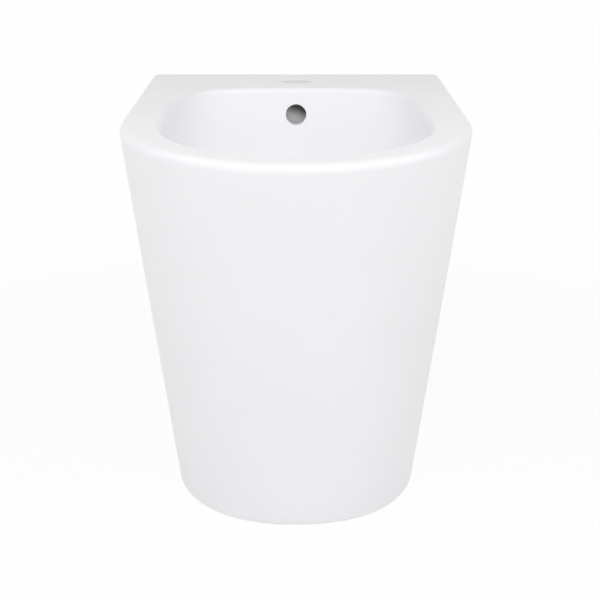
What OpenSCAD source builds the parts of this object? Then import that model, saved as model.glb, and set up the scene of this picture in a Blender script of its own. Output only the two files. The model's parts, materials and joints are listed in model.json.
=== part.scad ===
// Floor standing bidet that stands with its back to a wall: one glazed casting, and inside it
// the waste with its push plug, the bottle trap, the outlet pipe and the floor brackets.
// Millimetres. +Z is up, -Y is the front, the wall is at y = body_d / 2 and the floor at z = 0.

/* [Body] */
// Height of the rim above the floor
rim_h = 400; // [385:1:420]
// Width of the body under its rolled edge
body_w = 358; // [348:1:378]
// Depth of the body under its rolled edge, from the wall to the front
body_d = 558; // [543:1:578]
// Length of the straight sides under the rolled edge
side_d = 319; // [306:1:332]
// Squareness of the rim's front curve, where 2 is an ellipse
rim_square = 1.97; // [1.9:0.01:2.3]
// Width of the foot
foot_w = 261; // [253:1:283]
// Depth of the foot
foot_d = 441; // [426:1:460]
// Length of the straight sides at the floor
foot_side_d = 275; // [263:1:288]
// Squareness of the foot's front curve, where 2 is an ellipse
foot_square = 2.24; // [2:0.02:2.6]
// Radius of the rolled edge round the rim
rim_r = 10; // [7:1:16]
// Thickness of the clay in the side and front walls
wall_t = 14; // [12:0.5:16]
// Thickness of the tap deck
deck_t = 16; // [14:0.5:18]

/* [Bowl] */
// Width of the bowl's mouth
bowl_w = 271; // [257:1:277]
// Distance from the wall to the back of the bowl's mouth
bowl_back = 116.5; // [112:0.5:122]
// Distance from the wall to the widest part of the bowl's mouth
bowl_middle = 353; // [335:1:370]
// Width of the rim at the front
front_rim = 39; // [35:1:44]
// Height from the bowl's floor to the rim
bowl_depth = 135; // [125:1:140]
// Squareness of the back of the bowl's mouth, where 2 is an ellipse
bowl_back_square = 4.5; // [3:0.1:6]
// Squareness of the front of the bowl's mouth
bowl_front_square = 2.05; // [2:0.05:2.5]
// Squareness of the bowl's section from rim to floor
bowl_section_square = 3; // [2.4:0.1:3.6]
// Radius of the bowl's inner edge
lip_r = 5.5; // [4:0.5:9]
// Thickness of the clay under and behind the bowl
bowl_t = 14; // [12:0.5:16]
// Distance from the wall to the drain
drain_back = 262; // [250:1:275]

/* [Holes in the clay] */
// Radius of the tap hole
tap_hole_r = 17.5; // [16:0.5:18.5]
// Distance from the wall to the tap hole
tap_back = 59; // [53:1:62]
// Width of the eased edge round the tap hole
tap_ease = 1.5; // [0.5:0.5:2.5]
// Radius of the overflow hole
overflow_r = 12; // [10:0.5:13]
// Depth of the overflow hole's centre below the rim
overflow_drop = 31; // [29:1:36]
// Width of the overflow duct behind the bowl
duct_w = 36; // [32:1:44]
// Depth of the overflow duct, front to back
duct_d = 14; // [11:0.5:16]
// Clay between the bowl and the overflow duct
duct_skin = 12; // [10:0.5:13]
// Clay round the outside of the overflow duct
duct_t = 8; // [6:0.5:9]
// Radius of the drain bore
drain_r = 23; // [22.5:0.25:24]
// Radius of the clay boss round the drain bore
boss_r = 36; // [34.5:0.5:39]
// Height of the drain boss, from its foot to the flange's seat
boss_h = 38; // [36:0.5:42]
// Depth of the flange's seat below the bowl's floor
seat_drop = 5; // [4:0.5:6]
// Width of the service opening in the back
service_w = 188; // [160:1:196]
// Height of the service opening in the back
service_h = 300; // [270:1:310]
// Corner radius of the service opening
service_r = 34; // [20:1:44]
// Radius of the two side fixing holes
side_hole_r = 8; // [7:0.25:9]
// Height of the side fixing holes above the floor
side_hole_h = 50; // [44:1:58]
// Distance from the wall to the side fixing holes
side_hole_back = 116; // [100:1:136]

/* [Waste] */
// Radius of the waste's tube
tail_r = 20.5; // [19.5:0.25:21]
// Wall of the waste's tube
tail_t = 3; // [2.5:0.25:3.5]
// Length of the waste's tube below its flange
tail_l = 82; // [80:1:88]
// Radius of the waste's flange
flange_r = 32; // [30:0.5:32.5]
// Thickness of the waste's flange
flange_t = 4; // [3:0.25:5]
// Thickness of the gasket under the flange
gasket_t = 2; // [1.5:0.25:3]
// Height of the overflow slots in the tube
slot_h = 14; // [10:0.5:16]
// Width of each overflow slot
slot_w = 11; // [8:0.5:13]
// Thickness of the tapered rubber under the boss
cone_t = 9; // [7:0.5:11]
// Thickness of the slip washer
slip_t = 1.5; // [1:0.25:2.5]
// Thickness of the back nut
nut_t = 11; // [9:0.5:13]
// Width of the back nut across its flats
nut_af = 54; // [51:0.5:58]

/* [Push plug] */
// Radius of the plug's cap
plug_r = 20; // [19.5:0.25:22]
// Thickness of the plug's cap at its edge
plug_t = 3; // [2.5:0.25:4]
// Rise of the cap's dome
plug_dome = 2; // [1:0.25:3]
// Travel of the plug from open to shut
plug_lift = 8; // [6:0.5:9]
// Radius of the plug's stem
stem_r = 3.5; // [3:0.25:4]
// Thickness of the plug's rubber seal
seal_t = 2.5; // [2:0.25:3]
// Radius of the cartridge's barrel
barrel_r = 8; // [7.5:0.25:9]
// Length of the cartridge's barrel
barrel_l = 36; // [34:0.5:40]
// Wall of the cartridge's barrel
barrel_t = 1.5; // [1.25:0.25:2]
// Turns of the spring
spring_turns = 7; // [5:1:9]
// Radius of the spring's wire
wire_r = 0.5; // [0.4:0.05:0.6]

/* [Trap] */
// Outer radius of the dip tube and of the outlet pipe
pipe_r = 16; // [15:0.25:16.5]
// Wall of the dip tube and of the outlet pipe
pipe_t = 1.8; // [1.5:0.1:2.5]
// Length of the dip tube below its flange
dip_l = 112; // [106:1:114]
// Outer radius of the bottle
bottle_r = 30; // [29:0.5:32]
// Wall of the bottle, the cup and the outlet socket
bottle_t = 3; // [2.5:0.25:3.5]
// Height of the bottle's chamber
bottle_h = 44; // [42:1:48]
// Depth of the cup below its seal
cup_h = 35; // [33:1:38]
// Length of the screw between bottle and cup
screw_l = 16; // [14:0.5:18]
// Height of the outlet pipe's axis above the chamber's foot
outlet_up = 24; // [22:0.5:25]
// Length of the outlet socket from the trap's axis
socket_l = 66; // [60:1:72]
// Length of the outlet pipe inside the socket
pipe_in = 30; // [24:1:34]
// Distance from the outlet pipe's end to the wall
pipe_end = 2; // [1:0.5:6]
// Travel of the outlet pipe, in or out
pipe_slide = 15; // [10:1:18]
// Radius of the trap's hand nuts
hand_nut_r = 26; // [25:0.5:28]
// Length of the trap's hand nuts
hand_nut_l = 20; // [19:0.5:22]
// Number of grip ribs on a hand nut and on the cup
grips = 18; // [12:2:24]

/* [Fixings] */
// Length of a floor bracket, front to back
bracket_l = 56; // [50:1:66]
// Width of a floor bracket's base
bracket_w = 46; // [42:1:54]
// Height of a floor bracket
bracket_h = 78; // [70:1:86]
// Thickness of a floor bracket
bracket_t = 5; // [4:0.25:6]
// Spacing of the two floor holes in a bracket
floor_hole_gap = 30; // [26:1:34]
// Radius of a floor hole
floor_hole_r = 3.25; // [2.75:0.25:3.75]
// Radius of a side screw's shank
screw_r = 3; // [2.5:0.25:3]
// Length of a side screw's shank
screw_len = 34; // [30:1:38]
// Radius of a cover cap
cap_r = 11; // [10.5:0.25:12]
// Height of a cover cap
cap_h = 3; // [2:0.25:4]

/* [Hidden] */
$fn = 64;

// Clearances: between pieces that slide or turn, between pieces that only pass, and of a push fit
run_gap = 0.4;
pass_gap = 0.5;
snug_gap = 0.15;

// Colours
GLAZE = [0.95, 0.95, 0.955];
CHROME = [0.78, 0.79, 0.8];
RUBBER = [0.13, 0.13, 0.14];
WHITE_PLASTIC = [0.9, 0.9, 0.88];
GREY_PLASTIC = [0.55, 0.57, 0.6];
STEEL = [0.62, 0.63, 0.65];
BRASS = [0.78, 0.65, 0.38];

// Places that follow from the sizes
back_y = body_d / 2;
roll_z = rim_h - rim_r;
side_slope = (body_w - foot_w) / 2 / roll_z;
side_tilt = atan(side_slope);
bowl_middle_y = back_y - bowl_middle;
drain_y = back_y - drain_back;
tap_y = back_y - tap_back;
deck_z = rim_h - deck_t;
lip_z = rim_h - lip_r;
floor_z = rim_h - bowl_depth;
seat_z = floor_z - seat_drop;
boss_z = seat_z - boss_h;
overflow_z = rim_h - overflow_drop;
overflow_cut = 20;
seat_r = flange_r + 1.5;
bowl_floor_r = seat_r + 2;
mouth_back_y = back_y - bowl_back;
mouth_front_y = -back_y + front_rim;

// Where the casting's solids meet: under the rim, and in front of the deck
seam_z = deck_z - 4;
seam_y = mouth_back_y - 12;

// Levels of the waste and the trap, from the flange down
flange_z = seat_z + gasket_t;
flange_top = flange_z + flange_t;
tail_end = flange_z - tail_l;
tail_bore = tail_r - tail_t;
slot_z = boss_z + boss_h - duct_skin + seat_drop - slot_h;
cone_z = boss_z - cone_t;
slip_z = cone_z - slip_t;
nut_z = slip_z - nut_t;
washer_t = 3;
dip_flange_t = 3;
dip_flange_z = tail_end - washer_t - dip_flange_t;
nut_lip = 3;
inlet_nut_z = dip_flange_z - nut_lip;
inlet_nut_cover = 16;
inlet_nut_top = tail_end + inlet_nut_cover;
neck_gap = 3;
neck_nut_top = inlet_nut_z - neck_gap;
neck_seal_h = 4;
neck_top = neck_nut_top - nut_lip - neck_seal_h;
neck_l = 18;
shoulder_z = neck_top - neck_l;
chamber_z = shoulder_z - bottle_h;
spigot_end = chamber_z - screw_l;
cup_seal_t = 3;
cup_shelf = spigot_end - cup_seal_t;
cup_floor = cup_shelf - cup_h;
cup_bottom = cup_floor - bottle_t - 1;
outlet_z = chamber_z + outlet_up;
socket_r = pipe_r + run_gap + bottle_t;
socket_end = drain_y + socket_l;
outlet_seal_l = 7;
outlet_nut_y = socket_end + outlet_seal_l + nut_lip - hand_nut_l;
bead_t = 3;
bead_r = pipe_r + 2;
bead_y = outlet_nut_y + hand_nut_l + pipe_slide + 1;

// Levels of the push plug, which is up and open
shut_gap = 0.3;
cone_rise = 2;
plug_z = flange_top + plug_lift + shut_gap;
spoke_z = flange_z - 12;
barrel_top = spoke_z + 3;
barrel_end = barrel_top - barrel_l;
barrel_floor = barrel_end + barrel_t;
collar_t = 2;
stem_foot = barrel_top - barrel_t - shut_gap - collar_t;

// The casting's skin: points round a half ring, from the back's middle to the front's middle
BACK_STEPS = 8;
SIDE_STEPS = 12;
FRONT_STEPS = 20;
HALF = BACK_STEPS + SIDE_STEPS + FRONT_STEPS;
RING = 2 * HALF;

function mix(a, b, t) = a + (b - a) * t;

// Direction of point j of a half ring, where corner is the direction of the back corner
function ray_angle(j, corner) =
    j <= BACK_STEPS ? mix(90, corner, j / BACK_STEPS)
    : j <= BACK_STEPS + SIDE_STEPS ? mix(corner, 0, (j - BACK_STEPS) / SIDE_STEPS)
    : -90 * (j - BACK_STEPS - SIDE_STEPS) / FRONT_STEPS;

// Distance from a centre to a curve of half width a and reach b, with n for its squareness
function curve_reach(a, b, n, angle) =
    1 / pow(pow(cos(angle) / a, n) + pow(abs(sin(angle)) / b, n), 1 / n);

// Distance from a D's centre to its edge: straight back and sides, and a curved front
function d_reach(half_w, side, front, n, angle) =
    angle <= 0 ? curve_reach(half_w, front, n, angle)
    : angle >= 90 ? side
    : min(half_w / cos(angle), side / sin(angle));

// The D at height z, inset by t all round or, where keep_back is true, all but at the wall
function d_half_w(z, t) = mix(foot_w, body_w, z / roll_z) / 2 - t;
function d_side(z, t) = mix(foot_side_d, side_d, z / roll_z) - t;
function d_front(z, t) = mix(foot_d - foot_side_d, body_d - side_d, z / roll_z) - t;
function d_square(z) = mix(foot_square, rim_square, z / roll_z);
function d_centre(z) = back_y - mix(foot_side_d, side_d, z / roll_z);

function d_point(j, z, t, keep_back) =
    let (back_t = keep_back ? 0 : t)
    let (w = d_half_w(z, t))
    let (s = d_side(z, back_t))
    let (angle = ray_angle(j, atan2(s, w)))
    let (r = d_reach(w, s, d_front(z, t), d_square(z), angle))
    [r * cos(angle), d_centre(z) + r * sin(angle), z];

// Clear distance from point p out to the inside of the side and front walls
function clear_of_wall(p) =
    let (dy = p.y - d_centre(p.z))
    let (angle = atan2(dy, p.x))
    d_reach(d_half_w(p.z, wall_t), d_side(p.z, wall_t), d_front(p.z, wall_t), d_square(p.z), angle)
    - norm([p.x, dy]);

// The bowl's section at fall f, from 0 at the lip to 90 at its floor: its share of the mouth's
// width, its share of the depth, and the slope of its outside
power = 2 / bowl_section_square;
rim_corner = atan2(side_d, body_w / 2);
function bowl_share(f) = f >= 90 ? 0 : pow(cos(f), power);
function bowl_fall(f) = f >= 90 ? 1 : pow(sin(f), power);
function bowl_slope(f) =
    atan2(
        pow(sin(f), 2 - power) * (bowl_w / 2 - bowl_floor_r),
        pow(cos(f), 2 - power) * (lip_z - floor_z)
    );

// Point j of the bowl at fall f, moved out along the surface's normal by t
function bowl_point(j, f, t) =
    let (share = bowl_share(f))
    let (out = t * cos(bowl_slope(f)))
    let (centre = mix(drain_y, bowl_middle_y, share))
    let (half_w = mix(bowl_floor_r, bowl_w / 2, share) + out)
    let (behind = mix(bowl_floor_r, mouth_back_y - bowl_middle_y, share) + out)
    let (ahead = mix(bowl_floor_r, bowl_middle_y - mouth_front_y, share) + out)
    let (angle = ray_angle(j, rim_corner))
    let (n = mix(2, angle > 0 ? bowl_back_square : bowl_front_square, share))
    let (r = curve_reach(half_w, angle > 0 ? behind : ahead, n, angle))
    [
        r * cos(angle),
        centre + r * sin(angle),
        mix(lip_z, floor_z, bowl_fall(f)) - t * sin(bowl_slope(f))
    ];

// Fall at which the outside of the bowl comes clear of the front wall, or of the deck
wall_clear = 3;
first_fall = 1;
function meeting_fall(j, f = first_fall) =
    f > 60 || clear_of_wall(bowl_point(j, f, bowl_t)) >= wall_clear ? f : meeting_fall(j, f + 1);

function whole_ring(half) = [for (i = [0 : RING - 1])
    let (p = half[i <= HALF ? i : RING - i])
    [i <= HALF ? p.x : -p.x, p.y, p.z]];

BOWL_STEPS = 8;
UNDER_STEPS = 7;
LIP_STEPS = 3;
ROLL_STEPS = 4;

function bowl_rings() = [for (k = [0 : BOWL_STEPS])
    let (f = 90 - 90 * k / BOWL_STEPS)
    whole_ring([for (j = [0 : HALF]) bowl_point(j, f, 0)])];

function lip_rings() = [for (k = [1 : LIP_STEPS])
    let (turn = 90 * k / LIP_STEPS)
    whole_ring([for (j = [0 : HALF])
        let (p = bowl_point(j, 0, lip_r * (1 - cos(turn))))
        [p.x, p.y, lip_z + lip_r * sin(turn)]])];

function roll_rings() = [for (k = [0 : ROLL_STEPS])
    let (turn = 90 * (1 - k / ROLL_STEPS))
    let (z = roll_z + rim_r * sin(turn))
    whole_ring([for (j = [0 : HALF]) d_point(j, z, rim_r * (1 - cos(turn)), true)])];

// A level ring of the wall's outside, or of its inside
function wall_ring(z, inside) = whole_ring([for (j = [0 : HALF])
    d_point(j, z, inside ? wall_t : 0, !inside)]);

// The hollow's ceiling: flat under the deck, and then down the outside of the bowl
function ceiling_z(j) = min(deck_z, bowl_point(j, meeting_fall(j), bowl_t).z);
function inner_wall_ring() = whole_ring([for (j = [0 : HALF])
    d_point(j, ceiling_z(j), wall_t, false)]);
function under_rings() = [for (k = [0 : UNDER_STEPS])
    whole_ring([for (j = [0 : HALF])
        let (p = bowl_point(j, mix(meeting_fall(j), 90, k / UNDER_STEPS), bowl_t))
        [p.x, p.y, min(p.z, deck_z)]])];

// A closed solid through rings of RING points each. Either end is shut by a level fan round a
// point on the axis of symmetry, halfway along the ring.
function fan_centre(ring) = [0, (ring[0].y + ring[HALF].y) / 2, ring[0].z];
module skin(rings) {
    last = len(rings) - 1;
    first_fan = RING * (last + 1);
    polyhedron(
        points = concat([for (r = rings) each r], [fan_centre(rings[0]), fan_centre(rings[last])]),
        faces = [for (i = [0 : RING - 1])
            let (next = (i + 1) % RING)
            each concat(
                [[first_fan, i, next]],
                [for (k = [0 : last - 1])
                    let (a = k * RING + i)
                    let (b = k * RING + next)
                    each [[a, a + RING, b + RING], [a, b + RING, b]]],
                [[first_fan + 1, last * RING + next, last * RING + i]]
            )],
        convexity = 8
    );
}

// A side view of the overflow duct, between two distances behind the bowl's surface
DUCT_STEPS = 6;
function duct_line(t, top) = [for (k = [0 : DUCT_STEPS])
    let (p = bowl_point(0, 90 * k / DUCT_STEPS, t))
    [p.y, min(p.z, top)]];
module duct_shape(near, far, top, w) {
    inner = duct_line(near, top);
    outer = duct_line(far, top);
    rotate([90, 0, 90])
        linear_extrude(w, center = true)
            polygon(concat(
                inner,
                [[drain_y, inner[DUCT_STEPS].y], [drain_y, outer[DUCT_STEPS].y]],
                [for (k = [DUCT_STEPS : -1 : 0]) outer[k]]
            ));
}

// A flat shape with two rounded upper corners, standing on z = 0
module arch(w, h, r) {
    union() {
        translate([-w / 2, -1])
            square([w, h - r + 1]);
        translate([-w / 2 + r, 0])
            square([w - 2 * r, h]);
        for (side = [-1, 1])
            translate([side * (w / 2 - r), h - r])
                circle(r);
    }
}

// Puts its children on a side fixing hole: their +Z runs out through the wall, from its surface
module at_side(side) {
    x = foot_w / 2 + side_slope * side_hole_h;
    mirror([side < 0 ? 1 : 0, 0, 0])
        translate([x, back_y - side_hole_back, side_hole_h])
            rotate([0, 90 + side_tilt, 0])
                children();
}

module at_drain() {
    translate([0, drain_y, 0])
        children();
}

// Puts its children on the outlet's axis: their +Z runs to the wall
module at_outlet() {
    translate([0, 0, outlet_z])
        rotate([-90, 0, 0])
            children();
}

module ring(inner, outer, low, high) {
    rotate_extrude()
        translate([inner, low])
            square([outer - inner, high - low]);
}

// A nut with grip ribs, a bore, and a lip with a smaller bore at its far end
module hand_nut(bore, lip_bore, r, l, lip) {
    difference() {
        union() {
            cylinder(h = l, r = r - 1.5);
            for (i = [0 : grips - 1])
                rotate(i * 360 / grips)
                    translate([r - 2.5, 0, 0])
                        cylinder(h = l - 3, r = 1.8, $fn = 24);
        }
        translate([0, 0, -1])
            cylinder(h = l - lip + 1, r = bore);
        cylinder(h = l + 1, r = lip_bore);
    }
}

// The casting is cast in two parts that are stuck together wet: the shroud, and the rim with the
// bowl. Here the deck is parted from the bowl too, so that its two holes don't cut the bowl up in
// the collision pieces. The three solids meet face to face.
module shroud_wall() {
    difference() {
        skin([wall_ring(seam_z, false), wall_ring(0, false)]);
        skin([wall_ring(seam_z + 1, true), wall_ring(-1, true)]);
    }
}

module ceramic_shroud() {
    color(GLAZE)
        difference() {
            shroud_wall();
            translate([0, back_y + 1, 0])
                rotate([90, 0, 0])
                    linear_extrude(wall_t + 2)
                        arch(service_w, service_h, service_r);
            for (side = [-1, 1])
                at_side(side)
                    translate([0, 0, -wall_t - 3])
                        cylinder(h = wall_t + 6, r = side_hole_r);
        }
}

module rim_and_bowl() {
    difference() {
        union() {
            skin(concat(
                bowl_rings(), lip_rings(), roll_rings(),
                [wall_ring(seam_z, false), wall_ring(seam_z, true), inner_wall_ring()],
                under_rings()
            ));
            at_drain()
                translate([0, 0, boss_z])
                    cylinder(h = seat_z - 4 - boss_z, r = boss_r);
            duct_shape(bowl_t / 2, duct_skin + duct_d + duct_t, deck_z + 2, duct_w + 2 * duct_t);
        }
        duct_shape(duct_skin, duct_skin + duct_d, deck_z - 1, duct_w);
        at_drain() {
            translate([0, 0, boss_z - 1])
                cylinder(h = boss_h + 2, r = drain_r);
            translate([0, 0, seat_z])
                cylinder(h = seat_drop + 1, r = seat_r);
        }
        translate([0, mouth_back_y - overflow_cut, overflow_z])
            rotate([-90, 0, 0])
                cylinder(h = overflow_cut + duct_skin + duct_d / 2, r = overflow_r);
        translate([0, tap_y, deck_z - 1])
            cylinder(h = deck_t + 2, r = tap_hole_r);
        translate([0, tap_y, rim_h - tap_ease])
            cylinder(h = tap_ease, r1 = tap_hole_r, r2 = tap_hole_r + tap_ease);
    }
}

module behind_seam() {
    translate([-body_w, seam_y, -1])
        cube([2 * body_w, body_d, rim_h + 2]);
}

module ceramic_bowl() {
    color(GLAZE)
        difference() {
            rim_and_bowl();
            behind_seam();
            shroud_wall();
        }
}

module ceramic_deck() {
    color(GLAZE)
        intersection() {
            rim_and_bowl();
            behind_seam();
        }
}

module waste_flange() {
    color(CHROME)
        at_drain()
            difference() {
                rotate_extrude()
                    polygon([
                        [tail_bore, tail_end],
                        [tail_r, tail_end],
                        [tail_r, flange_z],
                        [flange_r, flange_z],
                        [flange_r, flange_z + 1],
                        [flange_r - 4, flange_top - 0.5],
                        [tail_bore + cone_rise, flange_top],
                        [tail_bore, flange_top - cone_rise]
                    ]);
                for (turn = [0 : 120 : 240])
                    rotate(turn)
                        translate([-slot_w / 2, 0, slot_z])
                            cube([slot_w, tail_r + 1, slot_h]);
            }
}

module flange_gasket() {
    color(RUBBER)
        at_drain()
            ring(tail_r + pass_gap, flange_r - 1, seat_z, flange_z);
}

module waste_plug() {
    rim = 0.6;
    color(CHROME)
        at_drain()
            rotate_extrude()
                polygon(concat(
                    [[0, plug_z], [plug_r - rim, plug_z], [plug_r, plug_z + rim]],
                    [for (a = [0 : 18 : 90])
                        [plug_r * cos(a), plug_z + plug_t + plug_dome * sin(a)]]
                ));
}

module plug_seal() {
    foot_r = tail_bore - run_gap * sqrt(2) + shut_gap;
    color(RUBBER)
        at_drain()
            rotate_extrude()
                polygon([
                    [stem_r + snug_gap, plug_z - seal_t],
                    [foot_r - 0.5, plug_z - seal_t],
                    [foot_r, plug_z - cone_rise],
                    [foot_r + cone_rise, plug_z],
                    [stem_r + snug_gap, plug_z]
                ]);
}

module plug_stem() {
    color(BRASS)
        at_drain() {
            translate([0, 0, stem_foot])
                cylinder(h = plug_z - stem_foot, r = stem_r);
            translate([0, 0, stem_foot])
                cylinder(h = collar_t, r = barrel_r - barrel_t - run_gap);
        }
}

// The cartridge is screwed into the tube by its outer ring; three arms hold its barrel
module plug_cartridge() {
    ring_t = 2;
    ring_r = tail_bore - snug_gap;
    bore_r = barrel_r - barrel_t;
    color(GREY_PLASTIC)
        at_drain()
            difference() {
                union() {
                    ring(ring_r - ring_t, ring_r, spoke_z - 6, spoke_z + 3);
                    translate([0, 0, barrel_end])
                        cylinder(h = barrel_l, r = barrel_r);
                    for (turn = [60 : 120 : 300])
                        rotate(turn)
                            translate([-1.5, 0, spoke_z - 4])
                                cube([3, ring_r - ring_t / 2, 5]);
                }
                translate([0, 0, barrel_floor])
                    cylinder(h = barrel_top - barrel_t - barrel_floor, r = bore_r);
                translate([0, 0, barrel_floor])
                    cylinder(h = barrel_l, r = stem_r + run_gap);
            }
}

// One unbroken wire, wound up from the barrel's floor to the stem's foot
SPRING_SIDES = 6;
SPRING_STEPS = 12;
spring_r = barrel_r - barrel_t - run_gap - wire_r;
spring_low = barrel_floor + wire_r + 0.1;
spring_high = stem_foot - wire_r - 0.1;
function spring_ring(i) =
    let (count = spring_turns * SPRING_STEPS)
    let (turn = 360 * i / SPRING_STEPS)
    let (z = mix(spring_low, spring_high, i / count))
    [for (k = [0 : SPRING_SIDES - 1])
        let (a = 360 * k / SPRING_SIDES)
        let (r = spring_r + wire_r * cos(a))
        [r * cos(turn), r * sin(turn), z + wire_r * sin(a)]];

module plug_spring() {
    count = spring_turns * SPRING_STEPS;
    color(STEEL)
        at_drain()
            polyhedron(
                points = [for (i = [0 : count]) each spring_ring(i)],
                faces = concat(
                    [[for (k = [SPRING_SIDES - 1 : -1 : 0]) k]],
                    [for (i = [0 : count - 1]) for (k = [0 : SPRING_SIDES - 1])
                        let (a = i * SPRING_SIDES + k)
                        let (b = i * SPRING_SIDES + (k + 1) % SPRING_SIDES)
                        each [[a, b + SPRING_SIDES, a + SPRING_SIDES], [a, b, b + SPRING_SIDES]]],
                    [[for (k = [0 : SPRING_SIDES - 1]) count * SPRING_SIDES + k]]
                )
            );
}

module tail_cone_gasket() {
    color(RUBBER)
        at_drain()
            rotate_extrude()
                polygon([
                    [tail_r + snug_gap, cone_z],
                    [boss_r - 8, cone_z],
                    [boss_r - 3, boss_z - 2],
                    [boss_r - 3, boss_z],
                    [tail_r + snug_gap, boss_z]
                ]);
}

module tail_slip_washer() {
    color(WHITE_PLASTIC)
        at_drain()
            ring(tail_r + snug_gap, boss_r - 7, slip_z, cone_z);
}

module tail_back_nut() {
    color(BRASS)
        at_drain()
            difference() {
                intersection() {
                    translate([0, 0, nut_z])
                        cylinder(h = nut_t, r = nut_af / 2 / cos(30), $fn = 6);
                    rotate_extrude()
                        polygon([
                            [0, nut_z],
                            [nut_af / 2, nut_z],
                            [nut_af / 2 / cos(30), nut_z + 2],
                            [nut_af / 2 / cos(30), slip_z],
                            [0, slip_z]
                        ]);
                }
                translate([0, 0, nut_z - 1])
                    cylinder(h = nut_t + 2, r = tail_r + snug_gap);
            }
}

module trap_inlet_nut() {
    color(WHITE_PLASTIC)
        at_drain()
            translate([0, 0, inlet_nut_top])
                mirror([0, 0, 1])
                    hand_nut(
                        tail_r + snug_gap, pipe_r + pass_gap, hand_nut_r,
                        inlet_nut_top - inlet_nut_z, nut_lip
                    );
}

module trap_inlet_washer() {
    color(RUBBER)
        at_drain()
            ring(pipe_r - pipe_t, tail_r - pass_gap, tail_end - washer_t, tail_end);
}

module trap_dip_tube() {
    color(WHITE_PLASTIC)
        at_drain()
            difference() {
                union() {
                    translate([0, 0, dip_flange_z])
                        cylinder(h = dip_flange_t, r = tail_r - pass_gap);
                    translate([0, 0, dip_flange_z + 1 - dip_l])
                        cylinder(h = dip_l, r = pipe_r);
                }
                translate([0, 0, dip_flange_z - dip_l])
                    cylinder(h = dip_l + 9, r = pipe_r - pipe_t);
            }
}

module trap_neck_nut() {
    low = neck_nut_top - hand_nut_l;
    color(WHITE_PLASTIC)
        at_drain()
            translate([0, 0, low])
                hand_nut(socket_r + pass_gap, pipe_r + pass_gap, hand_nut_r, hand_nut_l, nut_lip);
}

module trap_neck_seal() {
    color(RUBBER)
        at_drain()
            ring(pipe_r + snug_gap, socket_r - pass_gap, neck_top, neck_top + neck_seal_h);
}

module trap_bottle() {
    color(WHITE_PLASTIC)
        difference() {
            union() {
                at_drain()
                    rotate_extrude()
                        polygon([
                            [0, spigot_end],
                            [bottle_r, spigot_end],
                            [bottle_r, chamber_z],
                            [bottle_r + 4, chamber_z],
                            [bottle_r + 4, chamber_z + 3],
                            [bottle_r, chamber_z + 4],
                            [bottle_r, shoulder_z - 4],
                            [bottle_r - 4, shoulder_z],
                            [socket_r, shoulder_z],
                            [socket_r, neck_top],
                            [0, neck_top]
                        ]);
                at_outlet()
                    translate([0, 0, drain_y])
                        cylinder(h = socket_l, r = socket_r);
            }
            at_drain() {
                translate([0, 0, spigot_end - 1])
                    cylinder(h = shoulder_z - bottle_t - spigot_end + 1, r = bottle_r - bottle_t);
                translate([0, 0, spigot_end])
                    cylinder(h = neck_top - spigot_end + 1, r = pipe_r + run_gap);
            }
            at_outlet()
                translate([0, 0, drain_y])
                    cylinder(h = socket_l + 1, r = pipe_r + run_gap);
        }
}

module trap_cup() {
    grip_r = bottle_r + run_gap + bottle_t;
    cup_r = bottle_r - bottle_t;
    top = chamber_z - 1.5;
    corner = 9;
    inner_corner = corner - bottle_t;
    color(WHITE_PLASTIC)
        at_drain() {
            rotate_extrude()
                polygon(concat(
                    [[0, cup_bottom]],
                    [for (a = [0 : 18 : 90])
                        [
                            bottle_r - corner + corner * sin(a),
                            cup_bottom + corner - corner * cos(a)
                        ]],
                    [
                        [bottle_r, cup_shelf - 3],
                        [grip_r, cup_shelf],
                        [grip_r, top],
                        [bottle_r + run_gap, top],
                        [bottle_r + run_gap, cup_shelf],
                        [cup_r, cup_shelf]
                    ],
                    [for (a = [90 : -18 : 0])
                        [
                            cup_r - inner_corner + inner_corner * sin(a),
                            cup_floor + inner_corner - inner_corner * cos(a)
                        ]],
                    [[0, cup_floor]]
                ));
            for (i = [0 : grips - 1])
                rotate(i * 360 / grips)
                    translate([grip_r - 0.6, 0, cup_shelf + 2])
                        cylinder(h = top - 4 - cup_shelf, r = 1.8, $fn = 24);
        }
}

module trap_cup_seal() {
    color(RUBBER)
        at_drain()
            ring(bottle_r - bottle_t, bottle_r, cup_shelf, cup_shelf + cup_seal_t);
}

module outlet_nut() {
    color(WHITE_PLASTIC)
        at_outlet()
            translate([0, 0, outlet_nut_y])
                hand_nut(socket_r + pass_gap, pipe_r + run_gap, hand_nut_r, hand_nut_l, nut_lip);
}

module outlet_seal() {
    color(RUBBER)
        at_outlet()
            rotate_extrude()
                polygon([
                    [pipe_r + snug_gap, socket_end],
                    [socket_r - 1, socket_end],
                    [socket_r, socket_end + 2],
                    [socket_r, socket_end + outlet_seal_l],
                    [pipe_r + snug_gap, socket_end + outlet_seal_l]
                ]);
}

// Its bead stops it at the nut when it is pushed all the way in
module outlet_pipe() {
    low = socket_end - pipe_in;
    color(WHITE_PLASTIC)
        at_outlet() {
            ring(pipe_r - pipe_t, pipe_r, low, back_y - pipe_end);
            ring(pipe_r - 1, bead_r, bead_y, bead_y + bead_t);
        }
}

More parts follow.
